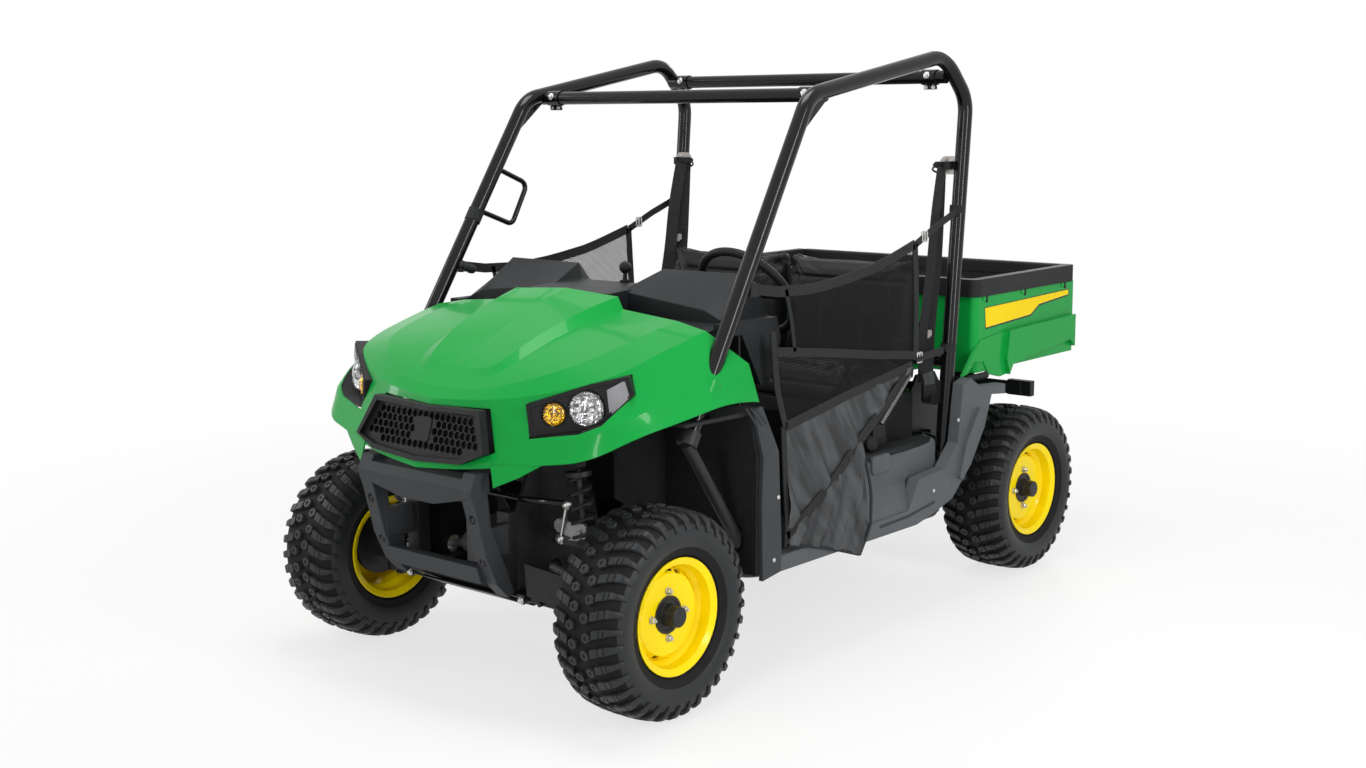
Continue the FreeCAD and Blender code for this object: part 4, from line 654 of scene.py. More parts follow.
def hub(wheel, x, y):
    out = 1 if x > 0 else -1
    body = wheel + "_wheel"
    centre = at(x + out * DISC_FACE, y, AXLE_Z)
    cap = Shape()
    cap.lathe(HUB_CAP, centre, (out, 0, 0), 40, caps=False)
    cap.done("hub_cap_" + wheel, CHASSIS, "chassis_black", body, smooth=30)
    nuts = Shape()
    for i in range(4):
        a = math.pi / 2 * i
        spot = centre + Vector((out * 0.0006, NUT_CIRCLE * math.sin(a), NUT_CIRCLE * math.cos(a)))
        for profile, steps in NUT_PARTS:
            nuts.lathe(profile, spot, (out, 0, 0), steps)
    nuts.done("lug_nuts_" + wheel, ZINC, "rod_zinc", body, smooth=25)
    valve = Shape()
    valve.lathe(VALVE, at(x + out * 48, y, AXLE_Z + 128), (out, 0, 0.15), 12)
    valve.done("valve_" + wheel, RUBBER, None, body, smooth=30)


# Headlamps and grille

LAMP_CENTRE = (492, -123, 887)
LAMP_FACING = Vector((0.536, -0.844, 0.05)).normalized()
# Corners of the lamp's face and of its rim's inner edge, as (along, up).
LAMP_EDGE = [(-166, 6), (-155, -78), (-14, -59), (46, -36), (128, 40), (114, 86), (10, 63)]
LAMP_INNER = [(-158, 0), (-148, -71), (-14, -53), (42, -30), (120, 40), (109, 78), (10, 57)]
# Name, place on the lamp, radius, bulge of the glass, and the finishes of bowl and glass.
LAMP_LIGHTS = (
    ("main", (0.0, 0.0), 52.0, 24.0, BOWL, CLEAR),
    ("side", (-92.0, -16.0), 34.0, 12.0, AMBER_BOWL, AMBER),
)
GRILLE_BACK = ((-284, -208), (-264, -212), (-150, -250), (0, -256), (150, -250), (264, -212), (284, -208))
GRILLE_END_X = 287
GRILLE_HEIGHTS = (716, 746, 776, 806, 837, 868)
BUMPER_BOLTS = ((223, -311, 567), (223, -277, 434))


def lamp_face(side):
    """A lamp's normal, and a function from (along, up, out of the face) to a point."""
    mirror = Vector((side, 1, 1))
    centre = at(LAMP_CENTRE[0] * side, *LAMP_CENTRE[1:])
    across = Vector((0, 0, 1)).cross(LAMP_FACING).normalized()
    along, up, normal = across * mirror, LAMP_FACING.cross(across) * mirror, LAMP_FACING * mirror

    def place(a, b, out=0.0):
        return centre + (along * a + up * b + normal * out) / 1000

    return normal, place


def lamp_lights(side, name):
    normal, place = lamp_face(side)
    for label, offset, radius, bulge, bowl_finish, glass in LAMP_LIGHTS:
        middle = place(*offset)
        bowl = Shape()
        rows = [(-7.4 + 11.0 * (i / 8) ** 2, (radius - 2) * i / 8 + 0.3) for i in range(9)]
        bowl.lathe(rows, middle, normal, 48, caps=False)
        bulb = [(0, 9), (bulge - 6, 8), (bulge - 3, 5), (bulge - 2, 0.3)]
        bowl.lathe(bulb, middle, normal, 24, caps=False)
        bowl.done("lamp_bowl_%s_%s" % (label, name), bowl_finish, "lamp", smooth=40)
        ring = Shape()
        ring.lathe([(3.4, radius - 4), (4.4, radius - 1.5), (7.4, radius - 0.2), (8.4, radius + 2.2),
                    (6.2, radius + 3.4)], middle, normal, 56, caps=False)
        ring.done("lamp_ring_%s_%s" % (label, name), TUBE, "lamp", smooth=40)
        dome = Shape()
        turns = [math.pi / 2 * i / 8 for i in range(9)]
        rows = [(3.6 + bulge * math.cos(a), (radius - 2.4) * math.sin(a) + 0.2) for a in turns]
        dome.lathe(rows, middle, normal, 48, caps=False)
        dome.done("lamp_glass_%s_%s" % (label, name), glass, "lamp", smooth=60)


def skin_of(node_name):
    """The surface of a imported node, to cast rays on."""
    node = NODES[node_name]
    return BVHTree.FromPolygons([node.matrix_world @ v.co for v in node.data.vertices],
                                [tuple(p.vertices) for p in node.data.polygons])


def lamp_lining(side, name, skin):
    """Closes the gap between the lamp and the edge of its opening in the skin."""
    normal, place = lamp_face(side)
    face, lip, back = [], [], []
    for (a0, b0), (a1, b1) in zip(LAMP_EDGE, LAMP_EDGE[1:] + LAMP_EDGE[:1]):
        for i in range(10):
            a, b = a0 + (a1 - a0) * i / 10, b0 + (b1 - b0) * i / 10
            outward = Vector((a + 8, b - 3)).normalized()
            probe = place(a + outward.x * 13, b + outward.y * 13)
            found = skin.ray_cast(probe + normal * 0.15, -normal, 0.3)[0]
            depth = (found - probe).dot(normal) * 1000 if found else 4.0
            edge = (a + outward.x * 9, b + outward.y * 9)
            face.append(place(a * 0.97, b * 0.97, 4.0))
            lip.append(place(*edge, depth - 3.0))
            back.append(place(*edge, -45.0))
    lining = Shape()
    lining.rings([face, lip, back], caps=False)
    lining.done("lamp_lining_" + name, GRILLE, "lamp", smooth=30)


def grille_backing(skin):
    """A dark sheet behind the grille, with ends that reach forward to the skin."""
    low, high = GRILLE_HEIGHTS[0], GRILLE_HEIGHTS[-1]
    backing = Shape()
    backing.rings([[at(x, y, low), at(x, y + 4, low), at(x, y + 4, high), at(x, y, high)]
                   for x, y in GRILLE_BACK])
    for side in (1, -1):
        rows = []
        for z in GRILLE_HEIGHTS:
            found = skin.ray_cast(at(side * GRILLE_END_X, -600, z), Vector((0, 1, 0)), 1.0)[0]
            front = found.y + 0.003 if found else at(0, -250, 0).y
            end = Vector((side * GRILLE_END_X / 1000, front, z / 1000))
            rows.append([end, at(side * 284, -206, z)])
        backing.sheet(rows)
    backing.done("grille_backing", RUBBER, "grille_black", smooth=30)


def lamp_trim(side, name):
    normal, place = lamp_face(side)
    fin = Shape()
    rows = []
    for share in (0.0, 0.2, 0.4, 0.6, 0.8, 1.0):
        low = (66 + 58 * share, -22 + 58 * share)
        high = (58 + 52 * share, 54 + 28 * share)
        lift = 6.4 + 3.4 * math.sin(math.pi * (0.15 + 0.7 * share))
        rows.append([place(*low, lift), place(*high, lift), place(*high, 5.8), place(*low, 5.8)])
    fin.rings(rows)
    fin.done("lamp_fin_" + name, LAMP_SILVER, "lamp", smooth=40)
    rim = Shape()
    section = ((LAMP_EDGE, 5.9), (LAMP_EDGE, 8.6), (LAMP_INNER, 8.6), (LAMP_INNER, 5.9))
    rim.rings([[place(a, b, lift) for a, b in edge] for edge, lift in section], joined=True)
    rim.done("lamp_edge_" + name, GRILLE, "lamp", bevel=1.0)


def bumper_bolts(side, name):
    screws = Shape()
    for spot in mirrored(side, BUMPER_BOLTS):
        screws.bolt(spot, (0, -1, 0.3), 7.5, 4)
    screws.done("bumper_bolts_" + name, CHASSIS, "chassis_black", smooth=30)


# Side nets: each line is a row of (y, z) points

TOP_HEM = [(428, 1180), (547, 1161), (717, 1154), (885, 1168), (1067, 1194), (1192, 1226), (1284, 1251)]
UPPER_TOP = [(587, 1157)] + TOP_HEM[2:]
BAND = [(542, 981), (828, 944), (1071, 909), (1290, 882)]
UPPER_LOW = [(631, 970)] + BAND[1:]
OPEN_LOW = [(542, 932), (813, 879), (1089, 834), (1240, 850)]
SKIRT_HEM = [(556, 752), (898, 803), (1275, 850)]
FLAP_HEM = [(506, 432), (744, 545), (934, 658), (1098, 745), (1262, 838)]
FLAP_LOW = [(504, 405), (640, 372), (764, 335), (886, 294)]
# Each hem's line and width.
HEMS = (
    (TOP_HEM, 32),
    ([(1288, 1254), (1300, 1050), (1300, 866)], 28),
    ([(587, 1164), (614, 1070), (631, 972)], 15),
    ([(523, 1043), (534, 940), (547, 834), (560, 746)], 26),
    (BAND, 28),
    (SKIRT_HEM, 28),
    (FLAP_HEM, 30),
    ([(549, 752), (520, 560), (505, 400)], 24),
    ([(934, 658), (953, 520), (948, 376), (888, 292)], 12),
    (FLAP_LOW, 10),
)
BUCKLE_X = 641
BUCKLES = ((1345, 1274), (1322, 870))
# Place of each bar in a buckle and half its length and height.
BUCKLE_BARS = ((0, -16, 14, 3), (0, 16, 14, 3), (-14, 0, 3, 16), (0, 0, 3, 16), (14, 0, 3, 16))


def sample(line, share):
    """The point at a share of the length of a line."""
    spans = [math.dist(a, b) for a, b in zip(line, line[1:])]
    left = share * sum(spans)
    for (a, b), span in zip(zip(line, line[1:]), spans):
        if left <= span or b == line[-1]:
            t = left / span
            return tuple(p + (q - p) * t for p, q in zip(a, b))
        left -= span


def net_reach(z):
    """How far out the net hangs at a height: it slants out over the sill."""
    return 640.0 + 65.0 * max(0.0, min(1.0, (870.0 - z) / 400.0))


def belly(depth):
    """Folds of a panel that only bulges out in its middle."""
    return lambda s, t: depth * math.sin(math.pi * s) * math.sin(math.pi * t)


def cloth(name, side, top, low, across, down, folds, material, bulge=0.0, lift=0.0):
    """A cloth panel between two lines; folds(s, t) gives its depth in millimetres."""
    rows = []
    for j in range(down + 1):
        t = j / down
        row = []
        for i in range(across + 1):
            s = i / across
            (ya, za), (yb, zb) = sample(top, s), sample(low, s)
            y = ya + (yb - ya) * t + bulge * s * math.sin(math.pi * t)
            z = za + (zb - za) * t
            row.append(at(side * (net_reach(z) + lift + folds(s, t)), y, z))
        rows.append(row)
    shape = Shape()
    shape.sheet(rows)
    made = shape.done(name, material, "net_fabric", smooth=80)
    wide = math.dist(top[0], top[-1]) / 1000
    hoop = "rops_left" if side > 0 else "rops_right"
    return made


def hem(shape, side, line, width, lift=1.6, thick=1.8, steps=14):
    """Webbing sewn along a line of the net."""
    rings = []
    for i in range(steps + 1):
        y, z = sample(line, i / steps)
        y0, z0 = sample(line, max(0.0, (i - 1) / steps))
        y1, z1 = sample(line, min(1.0, (i + 1) / steps))
        run = Vector((0, y1 - y0, z1 - z0)).normalized()
        across = Vector((0, -run.z, run.y)) * width / 2
        ring = []
        for k, x in ((1, lift + thick), (-1, lift + thick), (-1, lift - thick), (1, lift - thick)):
            edge_y, edge_z = y + across.y * k, z + across.z * k
            ring.append(at(side * (net_reach(edge_z) + x), edge_y, edge_z))
        rings.append(ring)
    shape.rings(rings)


def ridge(turns):
    """A fold with a sharp crest and a wide hollow, from about -0.4 to 0.9, once every turn."""
    return math.exp(-5.0 * abs((turns % 1.0) - 0.5)) * 1.4 - 0.5


def skirt_folds(s, t):
    """Folds that fan out from the gathered hem above the flap."""
    run = s + 0.16 * (1 - t) * (1 - s)
    fan = ridge(run * 4.3 + 0.3) * 27.0 + ridge(run * 9.7 - 0.4 * t) * 11.0 + math.sin(61.0 * run) * 1.6
    return fan * (0.25 + 0.75 * t) * min(1.0, 9.0 * (1 - t)) * min(1.0, 12.0 * t) * (1 - 0.35 * s)


def flap_folds(s, t):
    run = s * (0.75 + 0.25 * t)
    fold = ridge(run * 3.4 + 0.2 * t) * 16.0 + ridge(run * 7.7 + 0.5) * 8.0
    return fold * min(1.0, 4.0 * t) * (1.25 - 0.5 * t)


def side_net(side, name):
    upper = cloth("net_upper_" + name, side, UPPER_TOP, UPPER_LOW, 24, 12, belly(7.0), NET_FINE)
    cloth("net_open_band_" + name, side, BAND, OPEN_LOW, 24, 2, belly(0.0), NET_OPEN)
    cloth("net_lower_" + name, side, OPEN_LOW, SKIRT_HEM, 24, 8, belly(4.0), NET_FINE)
    cloth("net_skirt_" + name, side, SKIRT_HEM, FLAP_HEM, 90, 16, skirt_folds, NYLON)
    cloth("net_flap_" + name, side, FLAP_HEM[:3], FLAP_LOW, 60, 14, flap_folds, NYLON, 26.0, 3.0)
    hems = Shape()
    for line, width in HEMS:
        hem(hems, side, line, width)
    hems.done("net_hems_" + name, WEBBING, "webbing", smooth=30)
    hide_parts("net_" + name)


def net_straps(side, name):
    straps = Shape()
    hem(straps, side, [(1290, 1250), (1420, 1304), (1560, 1352)], 24, steps=6)
    hem(straps, side, [(1300, 868), (1380, 872), (1470, 878)], 24, steps=6)
    hem(straps, side, [(404, 1180), (440, 1176)], 40, lift=0.0, thick=14, steps=3)
    straps.done("net_straps_" + name, WEBBING, "webbing", smooth=30)
    clips = Shape()
    x = side * BUCKLE_X
    for y, z in BUCKLES:
        for dy, dz, half_y, half_z in BUCKLE_BARS:
            low = at(x - 3, y + dy - half_y, z + dz - half_z)
            clips.block(low, at(x + 3, y + dy + half_y, z + dz + half_z))
    clips.done("net_buckles_" + name, ZINC, "rod_zinc", bevel=0.8)


# Seats: side outlines of cushion and back as (y, z)

SEAT_X, SEAT_HALF = 276.0, 264.0
CUSHION_SIDE = [(1004, 748), (1000, 800), (1022, 842), (1070, 852), (1250, 838), (1388, 832), (1402, 800),
                (1402, 748)]
BACK_SIDE = [(1398, 770), (1380, 850), (1392, 1000), (1406, 1120), (1424, 1178), (1456, 1188), (1488, 1172),
             (1492, 1120), (1474, 960), (1462, 770)]
CORNER_INSET = 10.0
VOXEL = 0.009
FILLING_PRESSURE = 4.0
FILLING_FRAMES = 20
MOST_SWELLING = 0.020
SEAM_DEPTH = 0.006


def swell(pad, anchored):
    """Fills a pad by pressure; points that anchored() picks stay put."""
    start = [v.co.copy() for v in pad.data.vertices]
    pins = pad.vertex_groups.new(name="anchored")
    pins.add([i for i, p in enumerate(start) if anchored(p * 1000)], 1.0, "REPLACE")
    filling = pad.modifiers.new("filling", "CLOTH")
    filling.settings.use_pressure = True
    filling.settings.uniform_pressure_force = FILLING_PRESSURE
    filling.settings.vertex_group_mass = "anchored"
    filling.settings.effector_weights.gravity = 0.0
    filling.point_cache.frame_end = FILLING_FRAMES
    for step in range(1, FILLING_FRAMES + 1):
        bpy.context.scene.frame_set(step)
    graph = bpy.context.evaluated_depsgraph_get()
    swollen = pad.evaluated_get(graph).to_mesh()
    for v, before, after in zip(pad.data.vertices, start, swollen.vertices):
        moved = after.co - before
        if moved.length > MOST_SWELLING:
            moved *= MOST_SWELLING / moved.length
        v.co = before + moved
    pad.evaluated_get(graph).to_mesh_clear()
    pad.modifiers.clear()
    bpy.context.scene.frame_set(1)


def plump(name, side_line, half, anchored):
    """A pad of the given side outline and half width, swollen where it isn't anchored."""
    middle_y, middle_z = (sum(p[k] for p in side_line) / len(side_line) for k in (0, 1))
    rings = []
    for x in (-half, -half * 0.97, -half * 0.85, 0, half * 0.85, half * 0.97, half):
        inset = CORNER_INSET if abs(x) == half else 0.0
        ring = []
        for y, z in side_line:
            y += inset if y < middle_y else -inset
            z += inset if z < middle_z else -inset
            ring.append(Vector((x, y, z)) / 1000)
        rings.append(ring)
    shape = Shape()
    shape.rings(rings)
    pad = shape.done(name, VINYL, body=None, smooth=80)
    soften = pad.modifiers.new("voxels", "REMESH")
    soften.mode = "VOXEL"
    soften.voxel_size = VOXEL
    graph = bpy.context.evaluated_depsgraph_get()
    pad.data = bpy.data.meshes.new_from_object(pad.evaluated_get(graph))
    pad.modifiers.clear()
    swell(pad, anchored)
    return pad


def even_out(work):
    bmesh.ops.smooth_vert(
        work, verts=work.verts, factor=0.5, use_axis_x=True, use_axis_y=True, use_axis_z=True
    )


def sewn(pad, channels):
    """Smooths a pad and presses sewn channels into it; channels(p) is 1 on a seam and 0 away from it."""
    work = bmesh.new()
    work.from_mesh(pad.data)
    even_out(work)
    bmesh.ops.subdivide_edges(work, edges=work.edges, cuts=1, use_grid_fill=True)
    even_out(work)
    work.normal_update()
    shifts = [v.normal * -SEAM_DEPTH * channels(v.co * 1000) for v in work.verts]
    for v, shift in zip(work.verts, shifts):
        v.co += shift
    work.to_mesh(pad.data)
    work.free()
    for face in pad.data.polygons:
        face.use_smooth = True


def groove(distance, width=7.0):
    return math.exp(-((distance / width) ** 2))


def cushion_seams(p):
    if p.z <= 815:
        return groove(p.z - 800, 5.0) * 0.8
    across = max(groove(abs(p.x) - 96), groove(abs(p.x) - 214))
    return max(across if 1062 < p.y < 1390 else 0.0, groove(p.y - 1062))


def back_seams(p):
    if p.y >= 1420:
        return groove(p.y - 1448, 5.0) * 0.8
    across = max(groove(abs(p.x) - 88), groove(abs(p.x) - 206))
    return max(across if p.z < 1108 else 0.0, groove(p.z - 1108))


def seats():
    cushion = plump("seat_cushion_left", CUSHION_SIDE, SEAT_HALF, lambda p: p.z < 758)
    sewn(cushion, cushion_seams)
    backrest = plump("seat_back_left", BACK_SIDE, SEAT_HALF - 4, lambda p: p.y > 1440 and p.z < 1140)
    sewn(backrest, back_seams)
    for pad in (cushion, backrest):
        other = pad.copy()
        other.data = pad.data.copy()
        other.name = pad.name.replace("left", "right")
        bpy.context.scene.collection.objects.link(other)
        for made, (side, name) in zip((pad, other), SIDES):
            made.location = (side * SEAT_X / 1000, -FRAME_MIDDLE_Y / 1000, 0)
            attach(made, "chassis")
            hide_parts("seat_" + name)


# Seat belts

BELT_FACING = (0.65, -0.76, 0.0)
BELT_FRONT = ((585, 1534, 1496), (588, 1494, 1335), (590, 1467, 1167), (592, 1423, 949), (590, 1422, 770))
BELT_REAR = ((579, 1548, 1492), (580, 1538, 1335), (581, 1524, 1163), (583, 1488, 942), (590, 1466, 770))
BELT_LOW = ((610, 1388, 872), (622, 1400, 812), (622, 1422, 744), (606, 1446, 712))
BELT_PATCH = ((625, 1399, 808), (627, 1405, 790), (626, 1414, 766))
BELT_WIDTH = 44
# Widths of the front and rear strap, and places of the latch's plate and of its body.
BELT_SIDES = {
    "left": (30, 26, (583, 1452, 934), (584, 1453, 960)),
    "right": (BELT_WIDTH, BELT_WIDTH, (583, 1497, 1210), (584, 1502, 1236)),
}
GUIDE_WIDE, GUIDE_HIGH = Vector((0.756, 0.654, 0)) * 30, Vector((0, 0, 1)) * 13


def seat_belt(side, name):
    front_width, rear_width, plate, latch = BELT_SIDES[name]
    belt = Shape()
    belt.strap(mirrored(side, BELT_FRONT), BELT_FACING, front_width)
    belt.strap(mirrored(side, BELT_REAR), BELT_FACING, rear_width)
    belt.strap(mirrored(side, BELT_LOW), BELT_FACING, BELT_WIDTH)
    belt.done("belt_straps_" + name, WEBBING, "webbing", smooth=30)
    patch = Shape()
    patch.strap(mirrored(side, BELT_PATCH), BELT_FACING, 36, thick=5.0)
    patch.done("belt_patch_" + name, NYLON, "webbing", smooth=30)
    steel = Shape()
    steel.board(at(side * 597, 1560, 1500), BELT_FACING, 58, 62, 4, 12)
    for dz in (16, -14):
        steel.bolt(at(side * 606 + 1, 1551, 1500 + dz), BELT_FACING, 7, 4)
    steel.board(*mirrored(side, [plate]), BELT_FACING, 40, 36, 3, 10)
    steel.done("belt_steel_" + name, STEEL, "rod_zinc", smooth=30)
    plastic = Shape()
    plastic.board(*mirrored(side, [latch]), BELT_FACING, 58, 30, 14, 7)
    plastic.board(at(side * 576, 1548, 1502), BELT_FACING, 60, 22, 16, 9)
    plastic.board(at(side * 598, 1476, 727), (1, 0, 0), 74, 78, 46, 10)
    plastic.board(at(side * 588, 1448, 772), BELT_FACING, 64, 16, 22, 6)
    fittings = plastic.done("belt_fittings_" + name, INTERIOR, "interior_black", smooth=30, bevel=2.0)
    guide = []
    for i in range(17):
        a = i * math.pi / 8
        turn = (GUIDE_WIDE * math.cos(a) + GUIDE_HIGH * math.sin(a)) / 1000
        guide.append(at(side * 576, 1546, 1488) + turn)
    rod_line("belt_guide_" + name, guide, 3.5, TUBE, smooth=False)
    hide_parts("belts")


# Cargo bed

BED_X, BED_REAR = 640.0, 2408.0
BED_HOOKS = (1752, 2021, 2320)
STRIPE = [(1744, 995), (1751, 925), (2067, 941), (2128, 973), (2350, 989), (2349, 1007)]
STRIPE_EDGE = [(1741, 997), (1748, 919), (2070, 935), (2131, 967), (2354, 984), (2352, 1010)]
STRIPES = (("edge", STRIPE_EDGE, 0.3, TRIM), ("field", STRIPE, 0.7, STRIPE_YELLOW))
CAP_SECTION = [(-38, 1050), (-38, 1093), (-34, 1098), (-3, 1098), (1, 1093), (1, 1042), (-3.2, 1042),
               (-3.2, 1092), (-33, 1092), (-33, 1050)]


def bed_side(side, name):
    for label, outline, lift, finish in STRIPES:
        stripe = Shape()
        stripe.slab([at(side * (BED_X + lift), y, z) for y, z in outline], (side * 0.0004, 0, 0))
        stripe.done("bed_stripe_%s_%s" % (label, name), finish, "body_green", "bed")
    tabs, clips = Shape(), Shape()
    for y in BED_HOOKS:
        for dy in (-17, 17):
            tabs.board(at(side * (BED_X + 1.4), y + dy, 1029), (side, 0, 0), 22, 17, 4, 3)
        clips.board(at(side * (BED_X + 2), y, 1028), (side, 0, 0), 9, 26, 5, 2)
    tabs.done("bed_tab_pads_" + name, GREEN, "body_green", "bed", bevel=1.0)
    clips.done("bed_tab_clips_" + name, LINER, "liner_black", "bed", bevel=0.8)


def tailgate_parts():
    lining = Shape()
    lining.block(at(-600, BED_REAR - 36.2, 812), at(600, BED_REAR - 33, 1058))
    for i in range(-4, 5):
        lining.board(at(i * 132, BED_REAR - 37.4, 930), (0, -1, 0), 92, 196, 3.4, 10)
    lining.done("tailgate_lining", LINER, "liner_black", "tailgate", bevel=1.2)
    cap = Shape()
    cap.rings([[at(x, BED_REAR + y, z) for y, z in CAP_SECTION] for x in (-627, 627)])
    cap.done("tailgate_cap", LINER, "liner_black", "tailgate", bevel=1.5)
    handle = Shape()
    handle.board(at(0, BED_REAR - 7, 985), (0, 1, 0), 190, 74, 6, 14)
    handle.board(at(0, BED_REAR - 3.5, 978), (0, 1, 0), 150, 34, 6, 8)
    handle.done("tailgate_handle", TRIM, "bumper_grey", "tailgate", bevel=2.0)


def tail_lens(side, name):
    glass = Shape()
    glass.board(at(side * 490, 2293, 625), (0, 1, 0), 88, 46, 9, 6)
    for i in range(-3, 4):
        glass.board(at(side * 490 + i * 12, 2298, 625), (0, 1, 0), 4, 38, 2.4, 1)
    glass.done("tail_lens_" + name, RED, "tail_red", bevel=1.5)


# Roll-over frame fittings

TUBE_CLAMPS = ((824, 1739), (1512, 1796))
NET_BANDS = ((627.5, 1571, 1352), (627.5, 1526, 880))
POST_SWITCH = [(0, 4), (1, 13), (8, 15.5), (14, 15.5), (16, 13.5), (20, 13.5), (22, 15.5), (30, 16),
               (32, 14), (36, 14), (38, 16), (52, 15), (60, 11), (63, 4)]


def frame_fittings():
    bolts = Shape()
    for y, z in TUBE_CLAMPS:
        for side in (1, -1):
            for x in (534, 564):
                bolts.bolt(at(side * x, y - 5, z - 34), (0, -1, 0), 6, 5)
                bolts.lathe([(0, 6.5), (6, 6.5), (7, 5)], at(side * x, y + 5, z - 34), (0, 1, 0), 6)
            bolts.bolt(at(side * 549, y - 25, z + 7), (0, -1, 0.25), 9, 6)
    bolts.done("clamp_bolts", ZINC, "rod_zinc", smooth=30)
    bands = Shape()
    for side in (1, -1):
        for spot in mirrored(side, NET_BANDS):
            bands.lathe([(-13, 27.4), (13, 27.4)], spot, (0, 0.095, 1), 32, caps=False)
    bands.lathe([(-22, 27.6), (22, 27.6)], at(-624, 493, 1346), (0, 0.53, 0.84), 32, caps=False)
    bands.done("tube_bands", WEBBING, "webbing", smooth=40)
    switch = Shape()
    switch.lathe(POST_SWITCH, at(-612, 402, 1186), (0.55, 0.78, -0.36), 28)
    switch.done("post_switch", INTERIOR, "interior_black", smooth=40)


# Suspension fittings

LINK_EYES = ((364, -80, 587), (340, -84, 483))
LINK_EYE = [(-9, 5), (-8, 11), (-4, 14), (4, 14), (8, 11), (9, 5)]
STABILISER_BAR = ((364, -72, 590), (318, -118, 598), (250, -152, 603), (180, -154, 604), (0, -154, 604))
LINK_BRACKET = ((396, -62, 462), (396, -62, 486), (342, -90, 498), (328, -90, 470))
ARM_X, ARM_LUG = 246, 34.5
ARM_PIVOTS = ((-125, 300), (125, 300), (34, 455), (130, 455))
DRIVE_RIBS = [(k * 4.2, 25.0 - k * 0.3 if k % 2 else 20.6 - k * 0.25) for k in range(12)]
RACK_RIBS = [(k * 4.4, 17.5 if k % 2 else 13.4) for k in range(12)]
# Foot and top of each shock on the left.
SHOCKS = {
    "front": ((418, -46, 290), (372, -42, 700)),
    "rear": ((410, 2057, 296), (330, 2069, 640)),
}
SPRING_SEAT = [(0, 21), (3, 33), (7, 33), (8, 24), (16, 24), (17, 21)]
FOOT_COLLAR = [(0, 22.5), (2, 24), (34, 24), (36, 21)]
FRONT_SLEEVE = [(0, 15), (2, 17.5), (92, 17.5), (94, 15)]


def stabiliser():
    links = Shape()
    for side in (1, -1):
        for x, y, z in LINK_EYES:
            links.lathe(LINK_EYE, at(side * x, y, z), (0, 1, 0.1), 24)
            links.bolt(at(side * x, y - 9, z), (0, -1, 0), 6.5, 5)
        links.lathe([(0, 5.5), (96, 5.5)], at(side * 341, -84, 490), (side * 0.23, 0.03, 1), 16)
    links.done("stabiliser_links", ZINC, "rod_zinc", smooth=35)
    bar = mirrored(1, STABILISER_BAR) + mirrored(-1, STABILISER_BAR[-2::-1])
    rod_line("stabiliser_bar", smooth_path(bar), 9.0, TUBE, smooth=False, sides=6)


def arm_fittings():
    brackets, heads, boots = Shape(), Shape(), Shape()
    for side in (1, -1):
        brackets.slab(mirrored(side, LINK_BRACKET), (0, 0.006, 0))
        for axle_y, rearward in ((0, 1), (WHEELBASE, -1)):
            for dy, z in ARM_PIVOTS:
                for end in (-1, 1):
                    head = at(side * ARM_X, axle_y + rearward * dy + end * ARM_LUG, z)
                    heads.bolt(head, (0, end, 0), 8.5, 6)
        drive_boot = [(0, 14)] + DRIVE_RIBS + [(48, 14)]
        boots.lathe(drive_boot, at(side * 372, 0, 324.5), (side * 345, 0, -83), 32)
        rack_boot = [(0, 10)] + RACK_RIBS + [(52, 10)]
        boots.lathe(rack_boot, at(side * 236, 113, 350), (side * 285, -28, -38), 28)
    brackets.done("link_brackets", CHASSIS, "chassis_black", bevel=1.0)
    heads.done("arm_bolts", ZINC, "rod_zinc", smooth=30)
    boots.done("rubber_boots", RUBBER, "chassis_black", smooth=50)


def shock_collars():
    collars = Shape()
    for axle, ends in SHOCKS.items():
        for side in (1, -1):
            foot, top = mirrored(side, ends)
            run, long = (top - foot).normalized(), (top - foot).length
            collars.lathe(SPRING_SEAT, foot + run * (long * 0.2 - 0.014), run, 36)
            collars.lathe(FOOT_COLLAR, foot + run * long * 0.06, run, 36)
            if axle == "front":
                collars.lathe(FRONT_SLEEVE, foot + run * long * 0.30, run, 36)
    collars.done("shock_collars", DARK_ZINC, "rod_zinc", smooth=30)


def spring_carriers():
    carriers = Shape()
    for side in (1, -1):
        carriers.board(at(side * 380, -62, 508), (side * 0.25, -1, 0.1), 72, 52, 16, 10)
        carriers.board(at(side * 330, -66, 520), (side * 0.1, -1, 0), 46, 40, 22, 12)
        carriers.bolt(at(side * 400, -72, 508), (side * 0.25, -1, 0), 6, 4)
    carriers.done("spring_carriers", CAST, "rod_zinc", smooth=30, bevel=2.0)


# Engine

ENGINE_HALF_X, ENGINE_Y, ENGINE_TOP_Z = 186, 1730, 680
COVER_TOP_Z = ENGINE_TOP_Z + 17


def engine_parts():
    ribs, bolts = Shape(), Shape()
    for side in (1, -1):
        for k in range(9):
            ribs.board(at(side * (ENGINE_HALF_X + 3), ENGINE_Y, 520 + 17 * k), (side, 0, 0), 296, 6, 10, 2)
        ribs.board(at(side * (ENGINE_HALF_X + 2), ENGINE_Y, 440), (side, 0, 0), 250, 84, 8, 14)
        for dy in (-108, 108):
            for z in (412, 468):
                bolts.bolt(at(side * (ENGINE_HALF_X + 6), ENGINE_Y + dy, z), (side, 0, 0), 6, 4)
    ribs.block(at(-96, ENGINE_Y - 100, ENGINE_TOP_Z - 1), at(96, ENGINE_Y + 100, COVER_TOP_Z))
    for x in (-80, 80):
        for dy in (-80, 80):
            bolts.bolt(at(x, ENGINE_Y + dy, COVER_TOP_Z), (0, 0, 1), 6, 4)
    ribs.done("engine_ribs", CAST, "engine_metal", smooth=30, bevel=1.0)
    bolts.done("engine_bolts", ZINC, "rod_zinc", smooth=30)


# Dash and steering wheel

